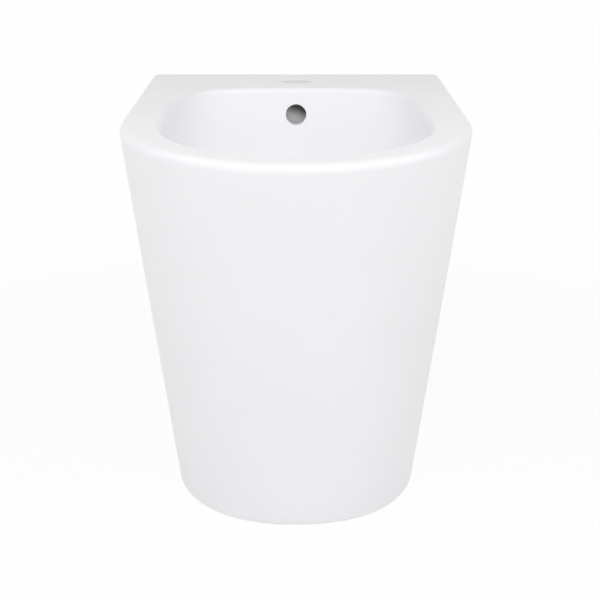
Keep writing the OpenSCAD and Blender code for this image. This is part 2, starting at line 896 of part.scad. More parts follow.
// An angle that stands on the floor, with its upright parallel to the inside of the side wall
module floor_bracket(side) {
    foot_x = foot_w / 2 - wall_t - pass_gap;
    top_x = foot_x + side_slope * bracket_h;
    rib_t = 4;
    mid_y = back_y - side_hole_back;
    hole_x = foot_x - bracket_w / 2 - 3;
    mirror([side < 0 ? 1 : 0, 0, 0])
        difference() {
            translate([0, mid_y, 0])
                rotate([90, 0, 0])
                    union() {
                        linear_extrude(bracket_l, center = true)
                            polygon([
                                [foot_x, 0],
                                [top_x, bracket_h],
                                [top_x - bracket_t, bracket_h],
                                [foot_x - bracket_t + side_slope * bracket_t, bracket_t],
                                [foot_x - bracket_w, bracket_t],
                                [foot_x - bracket_w, 0]
                            ]);
                        for (end = [-1, 1])
                            translate([0, 0, end * (bracket_l - rib_t) / 2])
                                linear_extrude(rib_t, center = true)
                                    polygon([
                                        [foot_x - 1, 1],
                                        [top_x - bracket_t, bracket_h - 6],
                                        [foot_x - bracket_w + 3, bracket_t],
                                        [foot_x - bracket_w + 3, 1]
                                    ]);
                    }
            for (end = [-1, 1])
                translate([hole_x, mid_y + end * floor_hole_gap / 2, -1])
                    cylinder(h = bracket_t + 2, r = floor_hole_r);
            at_side(1)
                translate([0, 0, -wall_t - bracket_t - 4])
                    cylinder(h = bracket_t + 8, r = screw_r + run_gap);
        }
}

// Depths along a side hole, from the wall's surface inwards
side_wall = wall_t * cos(side_tilt);
bracket_face = side_wall + (pass_gap + bracket_t) * cos(side_tilt);
head_r = 5.4;
head_h = 3.4;
bush_flange_t = 1.2;
bush_l = 10;
head_seat = 6;
side_nut_t = 5;
side_nut_af = 11;

module side_bushes() {
    color(WHITE_PLASTIC)
        for (side = [-1, 1])
            at_side(side)
                rotate_extrude()
                    polygon([
                        [screw_r + run_gap, -bush_l],
                        [side_hole_r - snug_gap, -bush_l],
                        [side_hole_r - snug_gap, 0],
                        [cap_r - 1, 0],
                        [cap_r - 1, bush_flange_t],
                        [head_r + run_gap, bush_flange_t],
                        [head_r + run_gap, -head_seat],
                        [screw_r + run_gap, -head_seat]
                    ]);
}

module side_screws() {
    color(STEEL)
        for (side = [-1, 1])
            at_side(side)
                difference() {
                    union() {
                        translate([0, 0, -head_seat - screw_len])
                            cylinder(h = screw_len + 0.5, r = screw_r);
                        translate([0, 0, -head_seat])
                            cylinder(h = head_h, r1 = head_r, r2 = head_r - 1.2);
                    }
                    translate([0, 0, -head_seat + head_h - 2])
                        cylinder(h = 3, r = 2.3, $fn = 6);
                }
}

module side_nuts() {
    color(STEEL)
        for (side = [-1, 1])
            at_side(side)
                translate([0, 0, -bracket_face - side_nut_t])
                    difference() {
                        cylinder(h = side_nut_t, r = side_nut_af / 2 / cos(30), $fn = 6);
                        translate([0, 0, -1])
                            cylinder(h = side_nut_t + 2, r = screw_r + snug_gap);
                    }
}

module side_caps() {
    plug_l = 3;
    color(WHITE_PLASTIC)
        for (side = [-1, 1])
            at_side(side)
                rotate_extrude()
                    polygon(concat(
                        [
                            [0, bush_flange_t - 1],
                            [head_r - 1, bush_flange_t - 1],
                            [head_r - 1, bush_flange_t - plug_l],
                            [head_r + run_gap - snug_gap, bush_flange_t - plug_l],
                            [head_r + run_gap - snug_gap, bush_flange_t],
                            [cap_r - 1 + snug_gap, bush_flange_t],
                            [cap_r - 1 + snug_gap, 0.3],
                            [cap_r, 0.3],
                            [cap_r, bush_flange_t]
                        ],
                        [for (a = [18 : 18 : 90])
                            [cap_r * cos(a), bush_flange_t + (cap_h - bush_flange_t) * sin(a)]]
                    ));
}

ceramic_shroud();
ceramic_bowl();
ceramic_deck();
waste_flange();
flange_gasket();
waste_plug();
plug_seal();
plug_stem();
plug_cartridge();
plug_spring();
tail_cone_gasket();
tail_slip_washer();
tail_back_nut();
trap_inlet_nut();
trap_inlet_washer();
trap_dip_tube();
trap_neck_nut();
trap_neck_seal();
trap_bottle();
trap_cup();
trap_cup_seal();
outlet_nut();
outlet_seal();
outlet_pipe();
color(STEEL) floor_bracket(-1);  // floor_bracket_left
color(STEEL) floor_bracket(1);  // floor_bracket_right
side_bushes();
side_screws();
side_nuts();
side_caps();
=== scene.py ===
"""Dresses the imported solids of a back-to-wall floor standing bidet.

Run as a script, it builds every piece, its finishes and the studio. Each step is also an operator
with a button in the 3D view's sidebar.
"""

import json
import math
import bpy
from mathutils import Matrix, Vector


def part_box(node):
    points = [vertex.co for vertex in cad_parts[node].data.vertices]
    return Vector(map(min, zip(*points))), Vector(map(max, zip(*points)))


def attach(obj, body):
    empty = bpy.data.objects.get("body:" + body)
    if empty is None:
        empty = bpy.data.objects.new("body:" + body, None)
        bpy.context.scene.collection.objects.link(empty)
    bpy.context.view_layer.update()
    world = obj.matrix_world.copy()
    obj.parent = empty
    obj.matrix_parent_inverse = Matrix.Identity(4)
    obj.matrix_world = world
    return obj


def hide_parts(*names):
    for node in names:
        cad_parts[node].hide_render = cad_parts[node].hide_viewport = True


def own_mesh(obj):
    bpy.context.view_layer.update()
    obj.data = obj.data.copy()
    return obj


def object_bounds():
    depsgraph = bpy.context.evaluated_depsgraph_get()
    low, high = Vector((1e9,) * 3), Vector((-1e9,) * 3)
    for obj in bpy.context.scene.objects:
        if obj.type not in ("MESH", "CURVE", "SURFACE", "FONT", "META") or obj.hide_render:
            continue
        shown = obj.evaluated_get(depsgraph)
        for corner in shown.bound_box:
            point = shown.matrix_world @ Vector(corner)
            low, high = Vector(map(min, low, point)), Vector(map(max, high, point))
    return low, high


bl_info = {
    "name": "Floor Standing Bidet",
    "version": (1, 0, 0),
    "blender": (4, 5, 0),
    "location": "View3D > Sidebar > Bidet",
    "description": "Builds a glazed back-to-wall bidet, its waste and its trap on their solids",
    "category": "Object",
}

import bmesh
import bpy
from mathutils import Vector

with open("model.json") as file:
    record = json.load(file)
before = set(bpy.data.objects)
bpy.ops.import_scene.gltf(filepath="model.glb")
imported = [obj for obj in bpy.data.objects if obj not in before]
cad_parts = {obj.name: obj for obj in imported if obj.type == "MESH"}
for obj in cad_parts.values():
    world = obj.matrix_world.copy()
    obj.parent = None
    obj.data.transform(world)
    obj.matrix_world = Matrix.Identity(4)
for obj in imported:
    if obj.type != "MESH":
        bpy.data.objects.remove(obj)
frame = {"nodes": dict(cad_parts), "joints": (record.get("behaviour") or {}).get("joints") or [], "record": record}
CAD_LOW, CAD_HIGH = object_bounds()

MM = 0.001
QUARTER = math.pi / 2
SAME = 0.000001  # two measures that are closer than this are the same
SLIVER = 0.000003  # the longest edge that carving leaves by chance
SHARP = math.radians(35.0)  # the least turn between two faces that shows as an edge

DRAIN_Y = (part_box("waste_flange")[0].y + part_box("waste_flange")[1].y) / 2
TAIL_R = 0.0205  # the waste's tail, over its thread
TAIL_PLAY = 0.15 * MM  # between the tail and the nuts on it

# Points of the casting's rings, on half a turn from the middle of the back to that of the front
BACK_POINTS = 26
CORNER_POINTS = 6
SIDE_POINTS = 32
FRONT_POINTS = 64

# Bands of a skin from end to end of one of its parts
BOWL_STEPS = 44
ROLL_STEPS = 12
SHROUD_STEPS = 18
HOLLOW_STEPS = 12
DUCT_STEPS = 20
TAIL_STEPS = 190

WIRE_STEPS = 24  # rings for each turn of the spring
WIRE_SIDES = 10
LATHE_SIDES = 96
NUT_SIDES = 144
BOTTLE_SIDES = 108
RIB_SIDES = 14  # for each grip rib
HOLE_SIDES = 72

BACK_CORNER = 2.0 * MM  # upright edges of the casting's back
HOLLOW_CORNER = 8.0 * MM  # the same inside the hollow
FINE = 0.8 * MM  # the eased edges of the drain and its boss
EASE = 0.6 * MM  # the eased edges of the side holes and of the overflow
TAP_EASE = 1.2 * MM
PAST = 3 * MM  # how far a cutter stands out of what it cuts
WHITE = (1.0, 1.0, 1.0, 1.0)


# ---------------------------------------------------------------- sizes and colours


def length(name, description, default):
    """A size in metres, for a property group."""
    return bpy.props.FloatProperty(
        name=name, description=description, default=default, min=0.0, precision=4,
        subtype="DISTANCE", unit="LENGTH",
    )


def squareness(name, description, default):
    """The exponent of a squared oval: 2 is an ellipse, and more is squarer."""
    return bpy.props.FloatProperty(name=name, description=description, default=default, min=1.0)


def colour(name, description, default):
    """A colour, for a property group."""
    return bpy.props.FloatVectorProperty(
        name=name, description=description, default=default, size=3, min=0.0, max=1.0,
        subtype="COLOR",
    )


class BidetSizes(bpy.types.PropertyGroup):
    """Sizes of the casting."""

    rim_height: length("Rim height", "Height of the rim above the floor", round(CAD_HIGH.z, 4))
    rim_roll: length("Rolled edge", "Radius of the rim's rolled outer edge", 0.010)
    rim_width: length("Rim width", "Width of the body under the rolled edge", 0.358)
    rim_depth: length("Rim depth", "Depth of the body under the rolled edge", 0.558)
    rim_sides: length("Straight sides", "Depth of the straight sides under the rim", 0.319)
    rim_square: squareness("Rim squareness", "Squareness of the front under the rim", 1.97)
    foot_width: length("Foot width", "Width of the body at the floor", 0.261)
    foot_depth: length("Foot depth", "Depth of the body at the floor", 0.441)
    foot_sides: length("Foot sides", "Depth of the straight sides at the floor", 0.275)
    foot_square: squareness("Foot squareness", "Squareness of the front at the floor", 2.24)
    wall: length("Wall", "Thickness of the shroud's wall", 0.014)
    deck: length("Deck", "Thickness of the deck", 0.016)
    bowl_width: length("Bowl width", "Width of the bowl's mouth", 0.271)
    bowl_back: length("Bowl to wall", "Distance from the wall to the bowl's mouth", 0.1165)
    bowl_middle: length("Bowl middle", "Distance from the wall to the bowl's widest place", 0.353)
    front_rim: length("Front rim", "Width of the rim in front of the bowl", 0.039)
    bowl_depth: length("Bowl depth", "Depth of the bowl under the rim", 0.135)
    bowl_back_square: squareness("Bowl back", "Squareness of the mouth's back half", 4.5)
    bowl_front_square: squareness("Bowl front", "Squareness of the mouth's front half", 2.05)
    bowl_section: squareness("Bowl section", "Squareness of the bowl's section", 3.0)
    bowl_wall: length("Bowl wall", "Thickness of the bowl's wall", 0.014)
    lip: length("Lip", "Radius of the bowl's lip", 0.0055)
    drain_back: length("Drain to wall", "Distance from the wall to the drain", 0.262)
    drain: length("Drain hole", "Radius of the drain hole", 0.023)
    boss: length("Boss", "Radius of the boss under the drain", 0.036)
    boss_height: length("Boss height", "Height of the boss", 0.038)
    seat: length("Seat", "Radius of the recess that holds the waste's flange", 0.0335)
    seat_drop: length("Seat depth", "Depth of that recess", 0.005)
    tap_hole: length("Tap hole", "Radius of the tap hole", 0.0175)
    tap_back: length("Tap to wall", "Distance from the wall to the tap hole", 0.059)
    overflow: length("Overflow", "Radius of the overflow hole", 0.012)
    overflow_drop: length("Overflow drop", "Depth of the overflow hole's axis", 0.031)
    duct_width: length("Duct width", "Width of the overflow duct inside", 0.036)
    duct_depth: length("Duct depth", "Depth of the overflow duct inside", 0.014)
    duct_skin: length("Duct skin", "Clay between the bowl and the duct", 0.012)
    duct_wall: length("Duct wall", "Thickness of the duct's own wall", 0.008)
    service_width: length("Opening width", "Width of the service opening at the back", 0.188)
    service_height: length("Opening height", "Height of the service opening", 0.300)
    service_corner: length("Opening corner", "Radius of the opening's upper corners", 0.034)
    side_hole: length("Side hole", "Radius of a side fixing's hole", 0.008)
    side_hole_height: length("Side hole height", "Height of a side fixing's hole", 0.050)
    side_hole_back: length("Side hole to wall", "Distance from the wall to that hole", 0.116)
    soft_edge: length("Soft edge", "Radius of the glaze over a plain edge", 0.0016)


class WasteSizes(bpy.types.PropertyGroup):
    """Sizes of the waste, the trap and the fixings."""

    soft_edge: length("Soft edge", "Radius of a moulded or machined edge", 0.0006)
    tail_bore: length("Waste bore", "Radius inside the waste's tail", 0.0175)
    tail_pitch: length("Waste thread", "Pitch of the thread on the waste's tail", 0.0018)
    slot_width: length("Slot width", "Width of the waste's overflow slots", 0.011)
    slot_low: length("Slot level", "Height of the slots' lower ends above the floor", 0.239)
    slot_height: length("Slot height", "Height of the waste's overflow slots", 0.014)
    spring_wire: length("Spring wire", "Thickness of the plug spring's wire", 0.001)
    spring_turns: bpy.props.IntProperty(
        name="Spring turns", description="Turns of the plug spring", default=9, min=5
    )
    pipe: length("Pipe", "Radius of the trap's pipes", 0.016)
    pipe_wall: length("Pipe wall", "Thickness of the trap's pipes", 0.0018)
    moulding: length("Moulding", "Thickness of the trap's walls", 0.003)
    running_gap: length("Running gap", "Gap between parts that slide or turn", 0.0004)
    nut_lip: length("Nut lip", "Thickness of a hand nut's lip", 0.003)
    rib: length("Rib", "Height of the grip ribs", 0.0013)
    ribs: bpy.props.IntProperty(
        name="Ribs", description="Grip ribs round a nut", default=18, min=6
    )
    cup_pitch: length("Cup thread", "Pitch of the thread that holds the trap's cup", 0.004)
    plate: length("Plate", "Thickness of the floor brackets", 0.005)
    gusset: length("Gusset", "Thickness of the brackets' gussets", 0.004)


class BidetFinishes(bpy.types.PropertyGroup):
    """Colours of the finishes."""

    glaze: colour("Glaze", "Glazed china", (0.900, 0.900, 0.917))
    clay: colour("Clay", "Bare fired clay", (0.80, 0.785, 0.75))
    # the duct's dark colour is painted shade for the inside of the overflow, not the clay's own colour
    duct: colour("Duct", "Dark clay inside the overflow's duct", (0.13, 0.13, 0.135))
    chrome: colour("Chrome", "Polished chrome", (0.78, 0.79, 0.80))
    brass: colour("Brass", "Machined brass", (0.78, 0.60, 0.30))
    steel: colour("Steel", "Zinc-plated steel", (0.60, 0.61, 0.63))
    rubber: colour("Rubber", "Black rubber", (0.035, 0.035, 0.038))
    white_plastic: colour("White plastic", "Moulded white plastic", (0.82, 0.82, 0.80))
    grey_plastic: colour("Grey plastic", "Moulded grey plastic", (0.33, 0.34, 0.36))
    floor: colour("Floor", "Studio floor", (0.86, 0.86, 0.86))


# ---------------------------------------------------------------- finishes


class Wire:
    """A socket of a node tree. Arithmetic on it adds the Math nodes."""

    def __init__(self, tree, socket):
        self.tree = tree
        self.socket = socket

    def _math(self, operation, first, second):
        node = self.tree.nodes.new("ShaderNodeMath")
        node.operation = operation
        for socket, value in zip(node.inputs, (first, second)):
            plug(self.tree, socket, value)
        return Wire(self.tree, node.outputs[0])

    def __add__(self, other):
        return self._math("ADD", self, other)

    __radd__ = __add__

    def __rsub__(self, other):
        return self._math("SUBTRACT", other, self)

    def __mul__(self, other):
        return self._math("MULTIPLY", self, other)

    __rmul__ = __mul__

    def above_zero(self):
        """The value, but never under zero."""
        return self._math("MAXIMUM", self, 0.0)


def plug(tree, socket, value):
    """Sets a socket to a value, or links a wire to it."""
    if isinstance(value, Wire):
        tree.links.new(value.socket, socket)
    else:
        socket.default_value = value


class Finish:
    """The nodes of a material, or of the world, that is being made."""

    def __init__(self, owner):
        self.owner = owner
        owner.use_nodes = True
        self.tree = owner.node_tree
        self.tree.nodes.clear()

    def node(self, kind, settings=None, out=0, **inputs):
        """Adds a node: its settings first, then the values or links of its sockets.

        An input goes by its name with _ for each space, or by i and its number where two inputs
        have one name.
        """
        node = self.tree.nodes.new("ShaderNode" + kind)
        for name, value in (settings or {}).items():
            setattr(node, name, value)
        for name, value in inputs.items():
            key = int(name[1:]) if name[0] == "i" and name[1:].isdigit() else name.replace("_", " ")
            plug(self.tree, node.inputs[key], value)
        return Wire(self.tree, node.outputs[out]) if node.outputs else None

    def place(self, scale=(1.0, 1.0, 1.0)):
        """Object coordinates, stretched along each axis."""
        return self.node("Mapping", Vector=self.node("TexCoord", out="Object"), Scale=scale)

    def noise(self, place, scale, detail=2.0, roughness=0.5):
        """A noise from 0 to 1."""
        return self.node("TexNoise", Vector=place, Scale=scale, Detail=detail, Roughness=roughness)

    def between(self, share, low, high):
        """A colour between two, by a share from 0 to 1."""
        return self.node(
            "Mix", {"data_type": "RGBA"}, out=2, Factor=share, i6=(*low, 1.0), i7=(*high, 1.0)
        )

    def spread(self, share, low, high):
        """A noise's middle part, spread over 0 to 1."""
        return self.node("MapRange", Value=share, From_Min=low, From_Max=high)

    def ramp(self, value, low, high):
        """A soft step from 0 to 1 between two values, of which the first may be the higher."""
        return self.node(
            "MapRange", {"interpolation_type": "SMOOTHSTEP"}, Value=value, From_Min=low,
            From_Max=high,
        )

    def bump(self, height, distance, strength=1.0, normal=None):
        """A normal, bumped by a height of 0 to 1 times the distance in metres."""
        inputs = {"Height": height, "Distance": distance, "Strength": strength}
        if normal is not None:
            inputs["Normal"] = normal
        return self.node("Bump", **inputs)

    def shown(self):
        """1 where the camera looks, straight or by way of a mirror or glass, and 0 elsewhere."""
        seen, mirrored, through = (
            self.node("LightPath", out=f"Is {kind} Ray")
            for kind in ("Camera", "Glossy", "Transmission")
        )
        return seen + mirrored + through

    def surface(self, **inputs):
        """The Principled shader and the output."""
        shader = self.node("BsdfPrincipled", **inputs)
        self.node("OutputMaterial", Surface=shader)
        return self.owner

    def worn(self, rgb, cloud, shades, gloss, normal, metallic=0.0):
        """A surface whose colour goes from one shade to the other with a cloud.

        gloss is the roughness, and what the cloud adds to it.
        """
        low, high = (shaded(rgb, shade) for shade in shades)
        return self.surface(
            Base_Color=self.between(cloud, low, high), Metallic=metallic,
            Roughness=gloss[0] + gloss[1] * cloud, Normal=normal,
        )


def new_finish(name):
    """An empty finish for a new material."""
    return Finish(bpy.data.materials.new(name))


def shaded(rgb, share):
    """A colour made darker or lighter."""
    return tuple(min(1.0, part * share) for part in rgb)


def glaze_finish(rgb):
    """Glazed china: a deep even gloss that lies a little unevenly on the clay."""
    f = new_finish("glazed_china")
    place = f.place()
    tone = f.spread(f.noise(place, 7.0, 3.0), 0.3, 0.7)
    swell = f.noise(place, 22.0, 1.0)
    peel = f.noise(place, 420.0, 2.0)
    normal = f.bump(peel, 0.000012, 1.0, f.bump(swell, 0.00022))
    return f.surface(
        Base_Color=f.between(tone, shaded(rgb, 0.985), shaded(rgb, 1.006)),
        Roughness=0.34 + 0.06 * f.noise(place, 60.0, 4.0),
        IOR=1.38, Normal=normal,
    )


def clay_finish(rgb):
    """Bare fired clay: matt, a little grainy, with a thin stain here and there."""
    f = new_finish("bare_clay")
    place = f.place()
    stain = f.spread(f.noise(place, 16.0, 5.0, 0.6), 0.35, 0.7)
    grain = f.noise(place, 900.0, 3.0, 0.7)
    lump = f.noise(place, 60.0, 3.0)
    normal = f.bump(grain, 0.00012, 0.8, f.bump(lump, 0.0006, 0.6))
    return f.surface(
        Base_Color=f.between(stain, rgb, shaded(rgb, 0.9)),
        Roughness=0.78 + 0.14 * grain, Normal=normal,
    )


def duct_painted_shade_finish(rgb):
    """The overflow's duct: painted shade, dark and matt above, white and glossier below, with the dark reaching
    lower at +x.
    """
    f = new_finish("duct_clay")
    place = f.place()
    # painted shade: its edge is tilted across the duct, lower at +x, to stand in for light falling in from one
    # side
    across = f.node("SeparateXYZ", out="X", Vector=place)
    height = f.node("SeparateXYZ", out="Z", Vector=place) + 0.45 * across
    height = height + 0.003 * f.noise(place, 90.0, 3.0)
    level = Casting(bpy.context.scene.bidet_sizes).overflow_z
    # painted shade: dark above the overflow's level, white below it, where light through the hole would fall
    run = f.ramp(height, level + 8 * MM, level - 8 * MM)
    return f.surface(
        Base_Color=f.between(run, rgb, (0.97, 0.965, 0.98)),
        Roughness=0.6 - 0.3 * run, Normal=f.bump(f.noise(place, 500.0, 3.0), 0.0001),
    )


def chrome_finish(rgb):
    """Polished chrome with faint wipe marks."""
    f = new_finish("polished_chrome")
    smear = f.spread(f.noise(f.place((1.0, 3.0, 1.0)), 70.0, 4.0), 0.4, 0.75)
    fine = f.bump(f.noise(f.place(), 300.0), 0.00001)
    return f.worn(rgb, smear, (1.0, 0.95), (0.06, 0.10), fine, metallic=1.0)


def brass_finish(rgb):
    """Machined brass that has dulled a little."""
    f = new_finish("machined_brass")
    dull = f.spread(f.noise(f.place(), 80.0, 5.0, 0.6), 0.35, 0.7)
    lathe = f.bump(f.noise(f.place((0.2, 0.2, 6.0)), 500.0), 0.00003)
    return f.worn(rgb, dull, (1.0, 0.72), (0.24, 0.2), lathe, metallic=1.0)


def steel_finish(rgb):
    """Zinc-plated steel: a soft shine with a cloudy spangle."""
    f = new_finish("zinc_steel")
    place = f.place()
    spangle = f.spread(f.noise(place, 90.0, 4.0, 0.6), 0.3, 0.7)
    fine = f.bump(f.noise(place, 1400.0), 0.00002)
    return f.worn(rgb, spangle, (1.08, 0.86), (0.3, 0.16), fine, metallic=1.0)


def rubber_finish(rgb):
    """Black rubber with a thin grey bloom."""
    f = new_finish("black_rubber")
    place = f.place()
    bloom = f.spread(f.noise(place, 110.0, 4.0, 0.6), 0.45, 0.8)
    fine = f.bump(f.noise(place, 900.0), 0.00003)
    return f.worn(rgb, bloom, (1.0, 2.2), (0.5, 0.22), fine)


def plastic_finish(name, rgb, roughness):
    """Moulded plastic: satin, with the tool's fine skin."""
    f = new_finish(name)
    place = f.place()
    tone = f.spread(f.noise(place, 30.0, 3.0), 0.3, 0.7)
    skin = f.noise(place, 700.0, 2.0)
    return f.surface(
        Base_Color=f.between(tone, shaded(rgb, 0.97), shaded(rgb, 1.01)),
        Roughness=roughness + 0.08 * skin, Normal=f.bump(skin, 0.00003),
    )


def floor_finish(rgb):
    """The studio floor: white where it shows, but for a trace of the object's shadow near it."""
    f = new_finish("studio_floor")
    diffuse = f.node("BsdfDiffuse", Color=(*rgb, 1.0))
    white = f.node("Emission", Color=WHITE, Strength=1.0)
    away = f.node("VectorMath", {"operation": "LENGTH"}, out="Value", i0=f.place())
    share = f.shown() * (0.93 + 0.06 * f.ramp(away, 0.4, 1.3))
    show = f.node("MixShader", i0=share, i1=diffuse, i2=white)
    f.node("OutputMaterial", Surface=show)
    return f.owner


MAKERS = {
    "glaze": glaze_finish,
    "clay": clay_finish,
    "duct": duct_painted_shade_finish,
    "chrome": chrome_finish,
    "brass": brass_finish,
    "steel": steel_finish,
    "rubber": rubber_finish,
    "white_plastic": lambda rgb: plastic_finish("white_moulding", rgb, 0.30),
    "grey_plastic": lambda rgb: plastic_finish("grey_moulding", rgb, 0.42),
    "floor": floor_finish,
}
_made = {}


def finish(name):
    """The finish of that name, made once from its colour in the sidebar."""
    if name not in _made:
        _made[name] = MAKERS[name](tuple(getattr(bpy.context.scene.bidet_finishes, name)))
    return _made[name]


# ---------------------------------------------------------------- modelling


def clear_selection():
    """Leaves nothing selected."""
    if bpy.context.mode != "OBJECT":
        bpy.ops.object.mode_set(mode="OBJECT")
    bpy.ops.object.select_all(action="DESELECT")


def select_only(piece):
    """Selects one object and makes it active."""
    clear_selection()
    piece.select_set(True)
    bpy.context.view_layer.objects.active = piece


def loft(name, rings, paints=None, joined=False):
    """Grows a skin from a circle by extruding its edge from ring to ring.

    paints gives the material slot of the band before each ring after the first. A joined skin
    ends where it began, and any other is shut with a face at either end.
    """
    count = len(rings[0])
    clear_selection()
    bpy.ops.mesh.primitive_circle_add(vertices=count, radius=1.0)
    piece = bpy.context.active_object
    piece.name = name
    bpy.ops.object.mode_set(mode="EDIT")
    bpy.ops.mesh.select_mode(type="EDGE")
    bpy.ops.mesh.select_all(action="SELECT")
    mesh = bmesh.from_edit_mesh(piece.data)
    for vertex, point in zip(mesh.verts, rings[0]):
        vertex.co = point
    order = {i: i for i in range(count)}
    bmesh.update_edit_mesh(piece.data)
    for k, ring in enumerate(rings[1:]):
        bpy.ops.mesh.extrude_edges_move()
        mesh = bmesh.from_edit_mesh(piece.data)
        mesh.verts.ensure_lookup_table()
        mesh.faces.ensure_lookup_table()
        mesh.verts.index_update()
        grown = {}
        for vertex in mesh.verts[-count:]:
            foot = next(
                edge.other_vert(vertex) for edge in vertex.link_edges
                if not edge.other_vert(vertex).select
            )
            grown[vertex.index] = order[foot.index]
            vertex.co = ring[order[foot.index]]
        if paints:
            for face in mesh.faces[-count:]:
                face.material_index = paints[k]
        order = grown
        bmesh.update_edit_mesh(piece.data)
    if joined:
        bpy.ops.mesh.select_all(action="SELECT")
        bpy.ops.mesh.remove_doubles(threshold=SAME)
    else:
        bpy.ops.mesh.select_all(action="DESELECT")
        bpy.ops.mesh.select_non_manifold(
            extend=False, use_wire=False, use_boundary=True, use_multi_face=False,
            use_non_contiguous=False, use_verts=False,
        )
        bpy.ops.mesh.edge_face_add()
    face_outwards(piece)
    return piece


def face_outwards(piece):
    """Turns a closed mesh's faces outwards, and leaves edit mode."""
    bpy.ops.mesh.select_all(action="SELECT")
    bpy.ops.mesh.normals_make_consistent(inside=False)
    if bmesh.from_edit_mesh(piece.data).calc_volume(signed=True) < 0:
        bpy.ops.mesh.flip_normals()
    bpy.ops.object.mode_set(mode="OBJECT")


def apply_modifier(piece, kind, **settings):
    """Adds a modifier with its settings and applies it."""
    modifier = piece.modifiers.new(kind.title(), kind)
    for name, value in settings.items():
        setattr(modifier, name, value)
    select_only(piece)
    bpy.ops.object.modifier_apply(modifier=modifier.name)


def carve(piece, tool, operation="DIFFERENCE"):
    """Cuts a tool out of a piece, or joins it on, and throws the tool away."""
    apply_modifier(piece, "BOOLEAN", operation=operation, object=tool, solver="MANIFOLD")
    bpy.data.objects.remove(tool, do_unlink=True)


def join(pieces):
    """Makes one object of several."""
    select_only(pieces[0])
    for piece in pieces[1:]:
        piece.select_set(True)
    bpy.ops.object.join()
    return pieces[0]


def clean(piece):
    """Merges the slivers that carving leaves along a seam."""
    select_only(piece)
    bpy.ops.object.mode_set(mode="EDIT")
    bpy.ops.mesh.select_all(action="SELECT")
    bpy.ops.mesh.dissolve_degenerate(threshold=SLIVER)
    bpy.ops.object.mode_set(mode="OBJECT")


def smooth(piece):
    """Shades a piece smooth, but for its sharp edges."""
    select_only(piece)
    bpy.ops.object.shade_smooth_by_angle(angle=SHARP)
    apply_modifier(piece, "WEIGHTED_NORMAL", mode="FACE_AREA", weight=60, keep_sharp=True)


def rounded(points, size, count=3):
    """A closed outline with its corners rounded. A point may bring its own radius third."""
    outline = []
    for i, point in enumerate(points):
        here = Vector(point[:2])
        before = Vector(points[i - 1][:2]) - here
        after = Vector(points[(i + 1) % len(points)][:2]) - here
        wish = point[2] if len(point) > 2 else size
        if wish <= 0:
            outline.append(tuple(here))
            continue
        half = before.angle(after) / 2
        run = min(wish / math.tan(half), 0.48 * before.length, 0.48 * after.length)
        radius = run * math.tan(half)
        before.normalize()
        after.normalize()
        centre = here + (before + after).normalized() * (radius / math.sin(half))
        first = here + before * run - centre
        last = here + after * run - centre
        for share in steps(0.0, 1.0, count):
            outline.append(tuple(centre + first.lerp(last, share).normalized() * radius))
    return outline


def turned(name, profile, place, sides=LATHE_SIDES, reach=None):
    """Sweeps a closed profile of radii and distances round an axis.

    reach may change a radius by its distance along the axis and its angle, as ribs do. A profile
    whose first radius is None is solid: its first and last circles get a face.
    """
    solid = profile[0] is None
    rings = []
    for radius, along in profile[1:] if solid else profile:
        ring = []
        for i in range(sides):
            angle = 2 * math.pi * i / sides
            out = reach(radius, along, angle) if reach else radius
            ring.append(place(out * math.cos(angle), out * math.sin(angle), along))
        rings.append(ring)
    return loft(name, rings if solid else rings + rings[:1], joined=not solid)


def finished(piece, kind, body, *nodes):
    """Shades a piece, gives it its finish and settles it."""
    piece.data.materials.append(finish(kind))
    smooth(piece)
    settle(piece, body, kind, *nodes)


def settle(piece, body, slot, *nodes):
    """Lets a finished piece ride on its body, in the place of the nodes that it stands for."""
    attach(piece, body)
    if nodes:
        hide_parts(*nodes)


# ---------------------------------------------------------------- the casting


def mix(low, high, share):
    """A value between two."""
    return low + (high - low) * share


def steps(low, high, count):
    """Evenly spaced values from low to high, both included."""
    return [mix(low, high, i / count) for i in range(count + 1)]


def oval_reach(half_width, ahead, square, angle):
    """How far a squared oval reaches from its centre in one direction, in its right half."""
    across = (max(0.0, math.cos(angle)) / half_width) ** square
    along = (abs(math.sin(angle)) / ahead) ** square
    return (across + along) ** (-1 / square)


def whole(half):
    """A closed ring from its right half, which runs from the back's middle to the front's."""
    return half + [(-x, y, z) for x, y, z in reversed(half[1:-1])]


